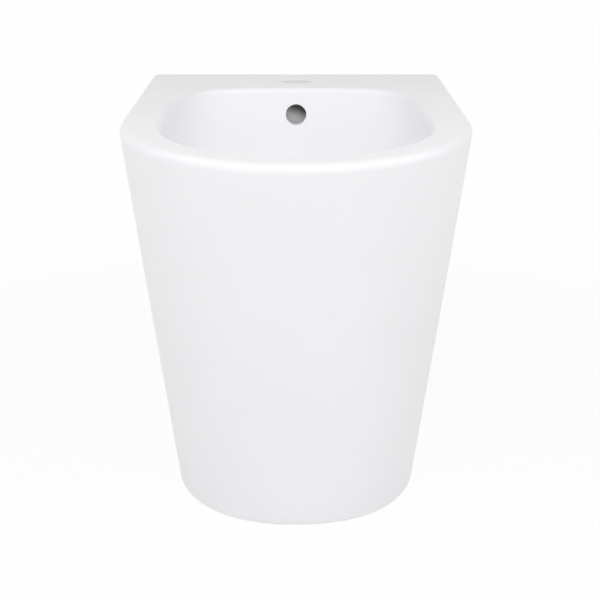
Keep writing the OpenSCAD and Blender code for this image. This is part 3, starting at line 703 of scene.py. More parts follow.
class Casting:
    """The shape of the casting, from its sizes."""

    def __init__(self, sizes):
        self.s = sizes
        self.wall_y = sizes.rim_depth / 2
        self.roll_z = sizes.rim_height - sizes.rim_roll
        self.deck_z = sizes.rim_height - sizes.deck
        self.lip_z = sizes.rim_height - sizes.lip
        self.floor_z = sizes.rim_height - sizes.bowl_depth
        self.seat_z = self.floor_z - sizes.seat_drop
        self.boss_z = self.seat_z - sizes.boss_height
        self.drain_y = self.wall_y - sizes.drain_back
        self.middle_y = self.wall_y - sizes.bowl_middle
        self.mouth_back_y = self.wall_y - sizes.bowl_back
        self.mouth_front_y = sizes.front_rim - self.wall_y
        self.floor_r = sizes.seat + 2 * MM
        self.overflow_z = sizes.rim_height - sizes.overflow_drop
        self.tap_y = self.wall_y - sizes.tap_back
        self.slope = (sizes.rim_width - sizes.foot_width) / 2 / self.roll_z

    def side_fixing(self, side):
        """Gives what places a point round the axis of a side's fixing, square to its wall."""
        s = self.s
        tilt = math.atan(self.slope)
        start = Vector((
            side * (s.foot_width / 2 + self.slope * s.side_hole_height),
            self.wall_y - s.side_hole_back, s.side_hole_height,
        ))
        axis = Vector((side * math.cos(tilt), 0.0, -math.sin(tilt)))
        up = Vector((side * math.sin(tilt), 0.0, math.cos(tilt)))
        return lambda x, y, along: start + axis * along + up * x + Vector((0, y, 0))

    def wall_ring(self, z, inset, back_inset, corner):
        """A level ring of the shroud: straight back and sides, and a rounded front."""
        s = self.s
        share = z / self.roll_z
        half_width = mix(s.foot_width, s.rim_width, share) / 2 - inset
        sides = mix(s.foot_sides, s.rim_sides, share)
        front = mix(s.foot_depth - s.foot_sides, s.rim_depth - s.rim_sides, share) - inset
        square = mix(s.foot_square, s.rim_square, share)
        centre = self.wall_y - sides
        back = self.wall_y - back_inset
        half = [((half_width - corner) * i / BACK_POINTS, back, z) for i in range(BACK_POINTS)]
        for turn in steps(0.0, QUARTER, CORNER_POINTS):
            half.append((
                half_width - corner + corner * math.sin(turn),
                back - corner + corner * math.cos(turn), z,
            ))
        for y in steps(back - corner, centre, SIDE_POINTS)[1:]:
            half.append((half_width, y, z))
        for angle in steps(0.0, -QUARTER, FRONT_POINTS)[1:]:
            reach = oval_reach(half_width, front, square, angle)
            half.append((reach * math.cos(angle), centre + reach * math.sin(angle), z))
        return whole(half)

    def directions(self):
        """The directions in which the rings of the bowl and the drain have their points."""
        corner = math.atan2(self.s.rim_sides, self.s.rim_width / 2)
        return (
            steps(QUARTER, corner, BACK_POINTS + CORNER_POINTS)
            + steps(corner, 0.0, SIDE_POINTS)[1:]
            + steps(0.0, -QUARTER, FRONT_POINTS)[1:]
        )

    def drain_ring(self, radius, z):
        """A level circle round the drain."""
        return whole([
            (radius * math.cos(a), self.drain_y + radius * math.sin(a), z)
            for a in self.directions()
        ])

    def bowl_section(self, turn):
        """The bowl's share of the mouth's size and of its depth at a turn from lip to floor."""
        square = self.s.bowl_section
        across = max(0.0, math.cos(turn))
        size = (across ** square + math.sin(turn) ** square) ** (1 / square)
        return across / size, math.sin(turn) / size

    def bowl_ring(self, turn, out=0.0, rise=None, top=None):
        """A ring of the bowl, moved out by so much along the surface's normal."""
        s = self.s
        share, fall = self.bowl_section(turn)
        power = s.bowl_section - 1
        tilt = math.atan2(
            fall ** power * (s.bowl_width / 2 - self.floor_r),
            share ** power * (self.lip_z - self.floor_z),
        )
        grow = out * math.cos(tilt)
        centre = mix(self.drain_y, self.middle_y, share)
        half_width = mix(self.floor_r, s.bowl_width / 2, share) + grow
        behind = mix(self.floor_r, self.mouth_back_y - self.middle_y, share) + grow
        ahead = mix(self.floor_r, self.middle_y - self.mouth_front_y, share) + grow
        z = mix(self.lip_z, self.floor_z, fall) - out * math.sin(tilt)
        if rise is not None:
            z = self.lip_z + rise
        if top is not None:
            z = min(z, top)
        half = []
        for a in self.directions():
            square = mix(2.0, s.bowl_back_square if a > 0 else s.bowl_front_square, share)
            reach = oval_reach(half_width, behind if a > 0 else ahead, square, a)
            half.append((reach * math.cos(a), centre + reach * math.sin(a), z))
        return whole(half)

    def back_point(self, turn, out, top):
        """The middle of the back of such a ring: its depth and its height."""
        return self.bowl_ring(turn, out, top=top)[0][1:]

    def back_wall_y(self, z):
        """Depth of the bowl's rear wall at a height, in the middle."""
        fall = (self.lip_z - z) / (self.lip_z - self.floor_z)
        share = (1 - max(0.0, fall) ** self.s.bowl_section) ** (1 / self.s.bowl_section)
        centre = mix(self.drain_y, self.middle_y, share)
        return centre + mix(self.floor_r, self.mouth_back_y - self.middle_y, share)


GLAZED = 0
BARE = 1
# the slot of the duct finish, which is painted shade
DUCT = 2


def casting_rings(shape):
    """The rings of the whole casting and the material slot of each band between them.

    They run from the drain up the bowl, over the rim, down the shroud, and back up its hollow.
    """
    s = shape.s
    edge = s.soft_edge
    rings = []
    paints = []

    def add(ring, paint):
        rings.append(ring)
        paints.append(paint)

    for radius, z in (
        (s.drain, shape.boss_z + FINE), (s.drain, shape.seat_z - FINE),
        (s.drain + FINE, shape.seat_z), (s.seat - FINE, shape.seat_z),
        (s.seat, shape.seat_z + FINE),
    ):
        add(shape.drain_ring(radius, z), GLAZED)
    for turn in steps(0.0, QUARTER, 4):
        add(shape.drain_ring(
            s.seat + FINE * (1 - math.cos(turn)), shape.floor_z - FINE + FINE * math.sin(turn)
        ), GLAZED)
    for turn in steps(QUARTER, 0.0, BOWL_STEPS):
        add(shape.bowl_ring(turn), GLAZED)
    for turn in steps(0.0, QUARTER, 6)[1:]:
        add(shape.bowl_ring(
            0.0, s.lip * (1 - math.cos(turn)), rise=s.lip * math.sin(turn)
        ), GLAZED)
    mouth = rings[-1]
    roll = []
    for turn in steps(QUARTER, 0.0, ROLL_STEPS):
        z = shape.roll_z + s.rim_roll * math.sin(turn)
        over = max(0.0, z - (s.rim_height - edge))
        back = edge - math.sqrt(max(0.0, edge ** 2 - over ** 2))
        roll.append(shape.wall_ring(z, s.rim_roll * (1 - math.cos(turn)), back, BACK_CORNER))
    for share in (0.3, 0.6, 0.85):
        add([
            tuple(mix(a, b, share) for a, b in zip(near, far))
            for near, far in zip(mouth, roll[0])
        ], GLAZED)
    for ring in roll:
        add(ring, GLAZED)
    for z in steps(shape.roll_z, edge, SHROUD_STEPS)[1:]:
        add(shape.wall_ring(z, 0.0, 0.0, BACK_CORNER), GLAZED)
    for turn in steps(0.0, QUARTER, 4)[1:]:
        inset = edge * (1 - math.cos(turn))
        z = edge * (1 - math.sin(turn))
        add(shape.wall_ring(z, inset, inset, BACK_CORNER + inset), GLAZED)
    inner = s.wall - edge
    add(shape.wall_ring(0.0, inner, inner, HOLLOW_CORNER), BARE)
    for turn in steps(0.0, QUARTER, 3)[1:]:
        inset = inner + edge * math.sin(turn)
        add(shape.wall_ring(edge * (1 - math.cos(turn)), inset, inset, HOLLOW_CORNER), BARE)
    for z in steps(edge, shape.deck_z, HOLLOW_STEPS)[1:]:
        add(shape.wall_ring(z, s.wall, s.wall, HOLLOW_CORNER), BARE)
    for turn in steps(math.radians(3.8), math.radians(84.0), 18):
        add(shape.bowl_ring(turn, s.bowl_wall, top=shape.deck_z), BARE)
    fillet = 6.0 * MM
    under = shape.floor_z - s.bowl_wall
    for turn in steps(0.0, QUARTER, 5):
        add(shape.drain_ring(
            s.boss + fillet * (1 - math.sin(turn)), under - fillet * (1 - math.cos(turn))
        ), BARE)
    for radius, z in (
        (s.boss, shape.boss_z + FINE), (s.boss - FINE, shape.boss_z),
        (s.drain + FINE, shape.boss_z),
    ):
        add(shape.drain_ring(radius, z), BARE)
    add(rings[0], GLAZED)
    return rings, paints[1:]


def duct_rings(shape, near, far, half_width, corner, top, end_y):
    """Rings of a duct that follows the bowl's rear wall down, between two distances behind it."""
    outline = [(mix(-half_width, half_width, i / 8), 0.0) for i in range(9)]
    depth = far - near
    for turn in steps(0.0, QUARTER, 5):
        outline.append((
            half_width - corner + corner * math.cos(turn), depth - corner + corner * math.sin(turn)
        ))
    for i in range(1, 8):
        outline.append((mix(half_width - corner, corner - half_width, i / 8), depth))
    for turn in steps(QUARTER, 0.0, 5):
        outline.append((
            corner - half_width - corner * math.cos(turn), depth - corner + corner * math.sin(turn)
        ))
    rings = []
    for turn in steps(0.0, QUARTER, DUCT_STEPS):
        y0, z0 = shape.back_point(turn, near, top)
        y1, z1 = shape.back_point(turn, far, top)
        rings.append([
            (x, mix(y0, y1, d / depth), mix(z0, z1, d / depth)) for x, d in outline
        ])
    rings.append([(x, end_y, z) for x, y, z in rings[-1]])
    return rings


def hole_rings(radius, stations, place):
    """Rings of a round cutter. Each station is a distance along it and what its radius gains."""
    return [
        [place(
            (radius + gain) * math.cos(2 * math.pi * i / HOLE_SIDES),
            (radius + gain) * math.sin(2 * math.pi * i / HOLE_SIDES), along
        ) for i in range(HOLE_SIDES)]
        for along, gain in stations
    ]


def eased(start, size, count=5):
    """Stations of a cutter whose edge is rounded where it comes out of the surface."""
    return [
        (start - size + size * 1.01 * math.sin(turn), size * (1 - math.cos(turn)))
        for turn in steps(0.0, QUARTER, count)
    ]


def arch_ring(half_width, height, corner, y):
    """An upright arch that runs on below the floor."""
    ring = [(half_width, y, z) for z in steps(-10 * MM, height - corner, 5)[:-1]]
    for turn in steps(0.0, QUARTER, 10):
        ring.append((
            half_width - corner + corner * math.cos(turn), y,
            height - corner + corner * math.sin(turn),
        ))
    right = ring + [(mix(half_width - corner, 0.0, i / 4), y, height) for i in range(1, 4)]
    return right + [(0.0, y, height)] + [(-x, y, z) for x, y, z in reversed(right)]


def china(name, rings, paints=None, joined=False):
    """A skin with the three finishes of the casting."""
    piece = loft(name, rings, paints, joined)
    for kind in ("glaze", "clay", "duct"):
        piece.data.materials.append(finish(kind))
    return piece


class BIDET_OT_casting(bpy.types.Operator):
    """Model the glazed casting: shroud, rim, deck, bowl, overflow duct and drain"""

    bl_idname = "bidet.casting"
    bl_label = "Casting"

    def execute(self, context):
        s = context.scene.bidet_sizes
        shape = Casting(s)
        rings, paints = casting_rings(shape)
        piece = china("glazed_casting", rings, paints, joined=True)

        outside = s.duct_skin + s.duct_depth + s.duct_wall
        duct = china("duct", duct_rings(
            shape, s.bowl_wall / 2, outside, s.duct_width / 2 + s.duct_wall, corner=8 * MM,
            top=shape.deck_z + 2 * MM, end_y=shape.drain_y + 24.5 * MM,
        ), [BARE] * (DUCT_STEPS + 1))
        carve(piece, duct, "UNION")

        # the bore's inside takes the duct finish, painted shade for the dark inside the overflow
        bore = china("duct_bore", duct_rings(
            shape, s.duct_skin, s.duct_skin + s.duct_depth, s.duct_width / 2, corner=5 * MM,
            top=shape.deck_z - 1 * MM, end_y=shape.drain_y + 14 * MM,
        ), [DUCT] * (DUCT_STEPS + 1))
        tap = china("tap_cutter", hole_rings(
            s.tap_hole,
            [(shape.deck_z - PAST, 0.0)] + eased(s.rim_height, TAP_EASE)
            + [(s.rim_height + PAST, TAP_EASE)],
            lambda x, y, along: (x, shape.tap_y + y, along),
        ))
        edge = s.soft_edge
        inner_y = shape.wall_y - s.wall
        stations = [(inner_y - PAST, edge), (inner_y, edge)]
        stations += [
            (inner_y + edge * (1 - math.cos(turn)), edge * (1 - math.sin(turn)))
            for turn in steps(0.0, QUARTER, 3)[1:]
        ]
        stations += eased(shape.wall_y, edge, 3) + [(shape.wall_y + PAST, edge)]
        arch = china("service_cutter", [
            arch_ring(
                s.service_width / 2 + gain, s.service_height + gain, s.service_corner + gain, y
            ) for y, gain in stations
        ], [BARE] * (len(stations) - 1))
        stations = [(-s.wall - 4 * MM, 0.0)] + eased(0.0, EASE, 3) + [(PAST, EASE)]
        sides = [
            china("side_cutter", hole_rings(s.side_hole, stations, shape.side_fixing(side)))
            for side in (-1, 1)
        ]
        carve(piece, join([bore, tap, arch, *sides]))

        middle = shape.overflow_z
        stations = [(-s.duct_skin - s.duct_depth / 2, 0.0)] + eased(0.0, EASE, 6)
        overflow = china("overflow_cutter", hole_rings(
            s.overflow, stations + [(6 * MM, EASE)],
            lambda x, z, along: (x, shape.back_wall_y(middle + z) - along, middle + z),
        ))
        carve(piece, overflow)
        clean(piece)
        smooth(piece)
        settle(piece, "bidet", "glaze", "ceramic_shroud", "ceramic_bowl", "ceramic_deck")
        return {"FINISHED"}


# ---------------------------------------------------------------- the waste


def at_drain(x, y, z):
    """A point round the drain's axis."""
    return x, DRAIN_Y + y, z


def fade(along, first, last, rise, fall):
    """Goes from 0 at the first place up to 1, and down to 0 again at the last."""
    return min(1.0, max(0.0, min((along - first) / rise, (last - along) / fall)))


def threaded(crest, first, last, pitch, depth):
    """Gives what cuts a right-hand thread where a turned profile has the crest's radius."""

    def reach(radius, along, angle):
        if abs(radius - crest) > SAME:
            return radius
        phase = (along / pitch - angle / (2 * math.pi)) % 1.0
        return radius - depth * fade(along, first, last, 2 * MM, 2 * MM) * abs(2 * phase - 1)

    return reach


def ribbed(core, height, ribs, ends, half, flank, start=0.0):
    """Gives what raises grip ribs where a turned profile has the core's radius.

    ends are the ribs' two ends, as distances from start, and how soon they rise and fall there.
    Half a rib's width and its flank are shares of the ribs' spacing.
    """

    def reach(radius, along, angle):
        if abs(radius - core) > SAME:
            return radius
        tall = height * fade(abs(along - start), *ends)
        across = (angle * ribs / (2 * math.pi) + 0.5) % 1.0 - 0.5
        top = min(1.0, max(0.0, (half - abs(across)) / flank))
        return radius + tall * top * top * (3 - 2 * top)

    return reach


class BIDET_OT_waste(bpy.types.Operator):
    """Model the chrome waste with its threaded tail and slots, the push plug and the back nut"""

    bl_idname = "bidet.waste"
    bl_label = "Waste"

    def execute(self, context):
        s = context.scene.waste_sizes
        edge = s.soft_edge
        low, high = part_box("waste_flange")
        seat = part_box("flange_gasket")[1].z
        flange = high.x
        neck = 18 * MM  # the tail's plain top
        thread_top = seat - neck
        profile = [(s.tail_bore, low.z), (TAIL_R - edge, low.z)]
        profile += [(TAIL_R, z) for z in steps(low.z + edge, thread_top, TAIL_STEPS)]
        profile += [(TAIL_R, seat), (flange - edge / 2, seat), (flange, seat + edge / 2)]
        crown = 4.5 * MM  # the width of the flange's rounded edge
        for share in steps(0.0, 1.0, 8):
            turn = share * QUARTER
            profile.append((
                flange - crown * (1 - math.cos(turn)),
                seat + edge + (high.z - seat - edge) * math.sin(turn),
            ))
        bevel = 2 * MM  # round the flange's mouth
        mouth, throat = s.tail_bore + bevel, high.z - bevel
        profile += [(mouth + edge, high.z), (mouth, high.z - edge / 2)]
        profile += [(s.tail_bore + edge / 2, throat + edge / 2), (s.tail_bore, throat - edge)]

        winding = threaded(TAIL_R, low.z, thread_top, s.tail_pitch, depth=0.9 * MM)
        piece = turned("waste_body", profile, at_drain, reach=winding)
        half, tall = s.slot_width / 2, s.slot_height
        outline = rounded([
            (-half, s.slot_low), (half, s.slot_low),
            (half, s.slot_low + tall), (-half, s.slot_low + tall),
        ], 3 * MM)
        for turn in (0.0, 120.0, 240.0):
            angle = math.radians(turn)
            across = Vector((math.cos(angle), math.sin(angle), 0.0))
            out = Vector((-math.sin(angle), math.cos(angle), 0.0))
            middle = Vector((0.0, DRAIN_Y, 0.0))
            carve(piece, loft("slot_cutter", [
                [middle + across * x + out * depth + Vector((0.0, 0.0, z)) for x, z in outline]
                for depth in (s.tail_bore - 4 * MM, TAIL_R + 2 * MM)
            ]))
        clean(piece)
        finished(piece, "chrome", "bidet", "waste_flange")

        low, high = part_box("waste_plug")
        shoulder, rise = 1.2 * MM, 2 * MM
        dome = [(high.x, low.z + edge)]
        for turn in steps(0.0, math.radians(88.0), 14):
            dome.append((
                (high.x - shoulder) * math.cos(turn) + shoulder * math.cos(turn) ** 0.25,
                high.z - rise + rise * math.sin(turn),
            ))
        profile = [None, (3 * MM, low.z), (high.x - edge, low.z)] + dome
        finished(turned("push_plug", profile, at_drain), "chrome", "plug", "waste_plug")

        low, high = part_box("tail_back_nut")
        flat = (high.y - low.y) / 2
        corner = flat / math.cos(math.radians(30.0))
        cut = 2.2 * MM
        bore = TAIL_R + TAIL_PLAY
        slant = [(mix(flat - edge, corner, share), cut * share) for share in steps(0.0, 1.0, 8)]
        profile = [(bore + edge, low.z)] + [(radius, low.z + rise) for radius, rise in slant]
        profile += [(radius, high.z - rise) for radius, rise in reversed(slant)]
        profile += [(bore + edge, high.z), (bore, high.z - edge), (bore, low.z + edge)]

        def hexagon(radius, along, angle):
            if radius < flat - 2 * edge:
                return radius
            turn = angle % (math.pi / 3) - math.pi / 6
            return min(radius, flat / math.cos(turn))

        finished(
            turned("back_nut", profile, at_drain, NUT_SIDES, hexagon), "brass", "bidet",
            "tail_back_nut",
        )
        return {"FINISHED"}


class BIDET_OT_spring(bpy.types.Operator):
    """Wind the spring under the push plug, with its end coils closed"""

    bl_idname = "bidet.spring"
    bl_label = "Spring"

    def execute(self, context):
        s = context.scene.waste_sizes
        low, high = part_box("plug_spring")
        wire = s.spring_wire / 2
        coil = high.x - wire
        closed = 1.1 * s.spring_wire  # the pitch of the close end coils
        close_turns, opening_turns = 0.8, 0.6
        shares = []
        for i in range(s.spring_turns * WIRE_STEPS):
            turn = (i + 0.5) / WIRE_STEPS
            inner = min(turn, s.spring_turns - turn)
            share = min(1.0, max(0.0, (inner - close_turns) / opening_turns))
            shares.append(share * share * (3 - 2 * share))
        opened = sum(shares) / WIRE_STEPS
        rise = high.z - low.z - 2 * wire - closed * (s.spring_turns - opened)
        pitches = [mix(closed, rise / opened, share) for share in shares]
        z = low.z + wire
        rings = []
        for i, pitch in enumerate(pitches + pitches[-1:]):
            angle = 2 * math.pi * i / WIRE_STEPS
            slope = math.atan2(pitch, 2 * math.pi * coil)
            across = Vector((math.cos(angle), math.sin(angle), 0.0))
            upward = Vector((
                math.sin(angle) * math.sin(slope), -math.cos(angle) * math.sin(slope),
                math.cos(slope),
            ))
            middle = Vector((0.0, DRAIN_Y, z)) + coil * across
            rings.append([
                middle + wire * (math.cos(side) * across + math.sin(side) * upward)
                for side in steps(0.0, 2 * math.pi, WIRE_SIDES)[:-1]
            ])
            z += pitch / WIRE_STEPS
        piece = loft("push_spring", rings)
        finished(piece, "steel", "bidet", "plug_spring")
        press = next(joint for joint in frame["joints"] if joint["name"] == "plug_press")
        foot = press["deforming_nodes"][0]["fixed_end_z_m"]
        keep = 1.0 - press["range_m"][1] / (high.z - foot)
        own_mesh(piece)
        return {"FINISHED"}


# ---------------------------------------------------------------- the trap


def hand_nut(name, node, place, start, end, bore, lip_bore, s):
    """A moulded nut with grip ribs, which stop short of its lip, at the end."""
    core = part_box(node)[1].x - s.rib
    way = 1 if end > start else -1
    span = abs(end - start)
    last = span - s.nut_lip
    edge = s.soft_edge
    profile = [(bore + edge, 0.0), (core - edge, 0.0), (core, edge)]
    profile += [(core, d) for d in steps(1.2 * MM, last - 2 * MM, 5)]
    profile += [(core, d) for d in steps(last - 1.4 * MM, last, 3)]
    profile += [(core - 0.4 * MM, span - 1.4 * MM), (core - 1.6 * MM, span - edge / 2)]
    profile += [(core - 2.4 * MM, span), (lip_bore + edge, span), (lip_bore, span - edge)]
    profile += [(lip_bore, last), (bore, last), (bore, edge)]
    profile = [(radius, start + way * distance) for radius, distance in profile]
    ribs = ribbed(core, s.rib, s.ribs, (edge, last, MM, 2 * MM), 0.25, 0.11, start)
    finished(
        turned(name, profile, place, s.ribs * RIB_SIDES, ribs), "white_plastic", "bidet", node
    )


class BIDET_OT_trap(bpy.types.Operator):
    """Model the bottle trap: its ribbed nuts, its bottle and screwed cup, and the outlet pipe"""

    bl_idname = "bidet.trap"
    bl_label = "Trap"

    def execute(self, context):
        s = context.scene.waste_sizes
        edge = s.soft_edge
        wall = s.moulding
        pipe = s.pipe
        passing = pipe + 0.5 * MM
        fit = pipe + s.running_gap
        socket = fit + wall
        outlet_low, outlet_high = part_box("outlet_pipe")
        outlet_z = (outlet_low.z + outlet_high.z) / 2

        def at_outlet(x, z, y):
            return x, y, outlet_z + z

        screwed = socket + 0.5 * MM
        low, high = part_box("trap_inlet_nut")
        hand_nut("inlet_nut", "trap_inlet_nut", at_drain, high.z, low.z,
                 TAIL_R + TAIL_PLAY, passing, s)
        low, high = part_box("trap_neck_nut")
        hand_nut("neck_nut", "trap_neck_nut", at_drain, low.z, high.z, screwed, passing, s)
        low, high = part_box("outlet_nut")
        hand_nut("pipe_nut", "outlet_nut", at_outlet, low.y, high.y, screwed, fit, s)

        low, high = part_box("trap_bottle")
        cup_low, cup_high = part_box("trap_cup")
        seal_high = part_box("trap_cup_seal")[1].z
        chamber = cup_high.z + 1.5 * MM
        neck_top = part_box("trap_neck_seal")[0].z
        shoulder = neck_top - 18 * MM
        ledge = high.x
        bottle = ledge - 4 * MM
        bore = bottle - wall
        profile = [None, (bottle - edge, seal_high), (bottle, seal_high + edge)]
        profile += [(bottle, z) for z in steps(seal_high + 1 * MM, chamber - 1 * MM, 34)]
        profile += rounded([
            (bottle, chamber, 0.0), (ledge, chamber), (ledge, chamber + 3 * MM),
            (bottle, chamber + 4 * MM, 1.5 * MM), (bottle, shoulder, 5 * MM),
            (socket, shoulder, 2 * MM), (socket, neck_top), (pipe, neck_top, 0.0),
        ], edge, 5)

        winding = threaded(
            bottle, seal_high + 1.5 * MM, chamber - 1.5 * MM, s.cup_pitch, depth=1.1 * MM
        )
        piece = turned("trap_body", profile, at_drain, BOTTLE_SIDES, winding)

        end = high.y
        collar = socket + 1.6 * MM
        arm = rounded([
            (collar, DRAIN_Y, 0.0), (collar, DRAIN_Y + bottle + 5 * MM),
            (socket, DRAIN_Y + bottle + 6.5 * MM, 1 * MM), (socket, end), (pipe, end, 0.0),
        ], edge, 4)
        arm[:1] = [None, (pipe, DRAIN_Y), (collar, DRAIN_Y)]
        carve(piece, turned("arm", arm, at_outlet), "UNION")

        def pipe_cutter(name, place, inner, mouth):
            return turned(name, [
                None, (fit, inner), (fit, mouth - edge), (fit + 2 * edge, mouth + edge),
            ], place)

        bottom, roof = seal_high - 2 * MM, shoulder - wall
        dome = rounded([(bore, roof, 3 * MM), (pipe / 2, roof, 0.0), (bore, bottom, 0.0)], edge)
        carve(piece, turned("chamber", [None, (bore, bottom)] + dome[:-1], at_drain))
        carve(piece, pipe_cutter("neck_bore", at_drain, roof - 3 * MM, neck_top))
        carve(piece, pipe_cutter("arm_bore", at_outlet, DRAIN_Y + 3 * MM, end))
        clean(piece)
        finished(piece, "white_plastic", "bidet", "trap_bottle")

        low, high = cup_low, cup_high
        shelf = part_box("trap_cup_seal")[0].z
        skirt = bottle + s.running_gap
        grip = skirt + wall
        base, dimple, inside = low.z + wall + 1 * MM, low.z + 1.2 * MM, bottle - wall
        profile = rounded([
            (4 * MM, dimple), (13 * MM, dimple, 1 * MM), (14.2 * MM, low.z, 0.6 * MM),
            (bottle, low.z, 9 * MM), (bottle, shelf - 3 * MM, 1.5 * MM), (grip, shelf, 1 * MM),
            *[(grip, shelf + up * MM, 0.0) for up in (2, 3, 5)],
            *[(grip, high.z - down * MM, 0.0) for down in (5, 3, 2)],
            (grip, high.z), (skirt, high.z), (skirt, shelf), (inside, shelf),
            (inside, base, 6 * MM), (4 * MM, base),
        ], edge, 5)
        ends = (shelf + 2 * MM, high.z - 2 * MM, MM, MM)
        ribs = ribbed(grip, (high.x - low.x) / 2 - grip, s.ribs, ends, half=0.2, flank=0.1)
        piece = turned("trap_cup_body", profile, at_drain, s.ribs * RIB_SIDES, ribs)
        finished(piece, "white_plastic", "cup", "trap_cup")

        low, high = outlet_low, outlet_high
        inner = pipe - s.pipe_wall
        bead = (high.x - low.x) / 2
        bead_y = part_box("outlet_nut")[1].y + 16 * MM
        profile = rounded([
            (inner, low.y), (pipe, low.y), (pipe, bead_y, 0.4 * MM), (bead, bead_y, 1.2 * MM),
            (bead, bead_y + 3 * MM, 1.2 * MM), (pipe, bead_y + 3 * MM, 0.4 * MM),
            (pipe, high.y, 0.9 * MM), (inner, high.y, 0.5 * MM),
        ], 0.4 * MM, 4)
        finished(
            turned("outlet_tube", profile, at_outlet), "white_plastic", "outlet", "outlet_pipe"
        )
        return {"FINISHED"}


# ---------------------------------------------------------------- the fixings

BOLT_R = 3.25 * MM
BOLT_STEP = 30 * MM  # between the two bolts of a bracket
BOLT_INSET = 20 * MM  # from the bracket's inner edge
SCREW_R = 3.4 * MM


class BIDET_OT_fixings(bpy.types.Operator):
    """Model the bent floor brackets with their gussets, and the caps over the side screws"""

    bl_idname = "bidet.fixings"
    bl_label = "Fixings"

    def execute(self, context):
        s = context.scene.waste_sizes
        shape = Casting(context.scene.bidet_sizes)
        plate, gusset = s.plate, s.gusset
        for side, name in ((-1, "left"), (1, "right")):
            node = "floor_bracket_" + name
            low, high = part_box(node)
            reach = max(abs(low.x), abs(high.x))
            toe = min(abs(low.x), abs(high.x))
            heel = reach - shape.slope * high.z
            middle = (low.y + high.y) / 2

            def flat(outline, y):
                return [(side * x, y, z) for x, z in outline]

            angle = rounded([
                (heel, 0.0, 6 * MM), (reach, high.z, 0.8 * MM), (reach - plate, high.z, 0.8 * MM),
                (heel - plate + shape.slope * plate, plate, 2 * MM), (toe, plate, 1 * MM),
                (toe, 0.0, 1 * MM),
            ], 1 * MM, 6)
            piece = loft("bracket_" + name, [flat(angle, low.y), flat(angle, high.y)])
            top, end = high.z - 6 * MM, toe + 3 * MM
            web = rounded([
                (heel - 2 * MM, 1 * MM, 0.0), (reach - 2 * MM, top, 1 * MM),
                (reach - plate - 1 * MM, top, 2 * MM), (toe + 8 * MM, plate + 3 * MM, 5 * MM),
                (end, plate - 1 * MM, 0.0), (end, 1 * MM, 0.0),
            ], 1 * MM, 4)
            for start in (low.y, high.y - gusset):
                # each gusset stands a hair in from the plate's end, so that no two faces coincide
                ends = (start + 0.2 * MM, start + gusset - 0.2 * MM)
                carve(piece, loft("gusset", [flat(web, y) for y in ends]), "UNION")
            for end in (-1, 1):
                centre = Vector((side * (toe + BOLT_INSET), middle + end * BOLT_STEP / 2, 0.0))
                carve(piece, loft("bolt_hole", hole_rings(
                    BOLT_R, [(-2 * MM, 0.0), (plate + 2 * MM, 0.0)],
                    lambda x, y, along: centre + Vector((x, y, along)),
                )))
            carve(piece, loft("screw_hole", hole_rings(
                SCREW_R, [(-30 * MM, 0.0), (0.0, 0.0)], shape.side_fixing(side)
            )))
            apply_modifier(
                piece, "BEVEL", width=0.5 * MM, segments=2, limit_method="ANGLE",
                angle_limit=math.radians(50.0),
            )
            finished(piece, "steel", "bidet", node)

        low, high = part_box("side_caps")
        rim = (high.y - low.y) / 2
        skirt, ledge = rim - 0.85 * MM, 1.2 * MM
        profile = [None, (4.4 * MM, 0.2 * MM), (4.4 * MM, -1.8 * MM), (5.6 * MM, -1.8 * MM)]
        profile += [(5.65 * MM, ledge), (skirt, ledge), (skirt, 0.35 * MM)]
        profile += [(rim - 0.2 * MM, 0.3 * MM), (rim, 0.5 * MM)]
        profile += [
            (rim * math.cos(turn) ** 0.7, ledge + 1.8 * MM * math.sin(turn))
            for turn in steps(0.0, math.radians(86.0), 12)
        ]
        caps = [turned("side_cap", profile, shape.side_fixing(side)) for side in (-1, 1)]
        finished(join(caps), "white_plastic", "bidet", "side_caps")
        return {"FINISHED"}


# ---------------------------------------------------------------- carried-over solids


class BIDET_OT_finishes(bpy.types.Operator):
    """Give each solid that shows as it is the finish of its material slot"""

    bl_idname = "bidet.finishes"
    bl_label = "Finishes"

    def execute(self, context):
        for part in frame["record"]["subparts"]:
            node = frame["nodes"][part["node"]]
            node.data.materials.clear()
            node.data.materials.append(finish(part["material_slot"]))
        return {"FINISHED"}


# ---------------------------------------------------------------- the studio

# The camera that was fitted to the photograph, for an image of 600 x 600 pixels
CAMERA_PLACE = (0.0, -1.45297, 0.64016)
CAMERA_FALL = math.radians(17.15)  # how far it looks down
LENS = 83.11
SENSOR = 36.0
SHIFT = 4.0 / 600.0

# Each lamp's name, width and height, place and power in watts
LAMPS = (
    ("front_lamp", (3.0, 2.4), (0.0, -1.3, 1.4), 15.1),
    ("low_lamp", (3.0, 1.4), (0.0, -1.5, 1.1), 12.6),
    ("left_lamp", (0.8, 1.0), (-1.3, -0.3, 1.0), 4.0),
    ("left_top_lamp", (1.2, 1.6), (-1.8, 0.2, 1.7), 4.5),
    ("right_lamp", (0.8, 1.0), (1.3, -0.3, 1.0), 4.0),
    ("right_top_lamp", (1.2, 1.6), (1.8, 0.2, 1.7), 4.5),
)
LAMPS_AIM = Vector((0.0, -0.1, 0.25))

FILL = 0.2  # the world's light all round
BACK_FILL = 0.43  # what it gains towards the back
FLOOR_SIZE = 60.0


def in_scene(name, data, place):
    """Puts a lamp or a camera in the scene."""
    item = bpy.data.objects.new(name, data)
    bpy.context.scene.collection.objects.link(item)
    item.location = place
    return item


def lamp(name, size, place, power):
    """A rectangular soft lamp that faces the object."""
    data = bpy.data.lights.new(name, "AREA")
    data.shape = "RECTANGLE"
    data.size, data.size_y = size
    data.energy = power
    item = in_scene(name, data, place)
    item.visible_camera = False
    item.rotation_euler = (LAMPS_AIM - Vector(place)).to_track_quat("-Z", "Y").to_euler()


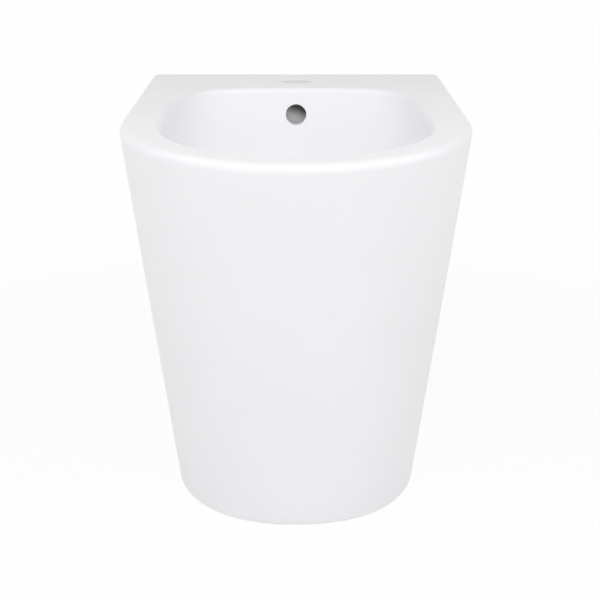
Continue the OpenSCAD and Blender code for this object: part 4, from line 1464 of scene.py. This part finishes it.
class BIDET_OT_studio(bpy.types.Operator):
    """Set up the floor, the lamps, the world and the camera"""

    bl_idname = "bidet.studio"
    bl_label = "Studio"

    def execute(self, context):
        scene = context.scene
        clear_selection()
        bpy.ops.mesh.primitive_plane_add(size=FLOOR_SIZE, location=(0.0, 0.0, 0.0))
        floor = context.active_object
        floor.name = "studio_floor"
        floor.data.materials.append(finish("floor"))

        # the world lights the object a little more from behind, and shows itself as plain white
        scene.world = bpy.data.worlds.new("studio")
        sky = Finish(scene.world)
        way = sky.node("TexCoord", out="Generated")
        behind = sky.node("SeparateXYZ", out="Y", Vector=way).above_zero()
        strength = FILL + BACK_FILL * behind
        strength = strength + sky.shown() * (1.0 - strength)
        light = sky.node("Background", Color=WHITE, Strength=strength)
        sky.node("OutputWorld", Surface=light)

        for row in LAMPS:
            lamp(*row)

        data = bpy.data.cameras.new("camera")
        data.lens = LENS
        data.sensor_width = SENSOR
        data.shift_x = SHIFT
        data.clip_end = 100.0
        scene.camera = in_scene("camera", data, CAMERA_PLACE)
        scene.camera.rotation_euler = (QUARTER - CAMERA_FALL, 0.0, 0.0)
        scene.view_settings.view_transform = "Standard"
        return {"FINISHED"}


# ---------------------------------------------------------------- the add-on


class BIDET_PT_panel(bpy.types.Panel):
    """Sizes, colours and steps of the bidet"""

    bl_idname = "BIDET_PT_panel"
    bl_label = "Floor Standing Bidet"
    bl_space_type = "VIEW_3D"
    bl_region_type = "UI"
    bl_category = "Bidet"

    def draw(self, context):
        layout = self.layout
        for operator in OPERATORS:
            layout.operator(operator.bl_idname)
        scene = context.scene
        for group in (scene.bidet_sizes, scene.waste_sizes, scene.bidet_finishes):
            column = layout.column(align=True)
            for name in group.__annotations__:
                column.prop(group, name)


OPERATORS = (
    BIDET_OT_finishes, BIDET_OT_casting, BIDET_OT_waste, BIDET_OT_spring, BIDET_OT_trap,
    BIDET_OT_fixings, BIDET_OT_studio,
)
CLASSES = (BidetSizes, WasteSizes, BidetFinishes, *OPERATORS, BIDET_PT_panel)


def register():
    """Registers the classes and hangs the property groups on the scene."""
    for kind in CLASSES:
        bpy.utils.register_class(kind)
    bpy.types.Scene.bidet_sizes = bpy.props.PointerProperty(type=BidetSizes)
    bpy.types.Scene.waste_sizes = bpy.props.PointerProperty(type=WasteSizes)
    bpy.types.Scene.bidet_finishes = bpy.props.PointerProperty(type=BidetFinishes)


def unregister():
    """Takes them off again."""
    del bpy.types.Scene.bidet_finishes
    del bpy.types.Scene.waste_sizes
    del bpy.types.Scene.bidet_sizes
    for kind in reversed(CLASSES):
        bpy.utils.unregister_class(kind)


def main():
    """Builds the whole scene."""
    register()
    bpy.ops.bidet.finishes()
    bpy.ops.bidet.casting()
    bpy.ops.bidet.waste()
    bpy.ops.bidet.spring()
    bpy.ops.bidet.trap()
    bpy.ops.bidet.fixings()
    bpy.ops.bidet.studio()
    clear_selection()


if __name__ == "__main__":
    main()
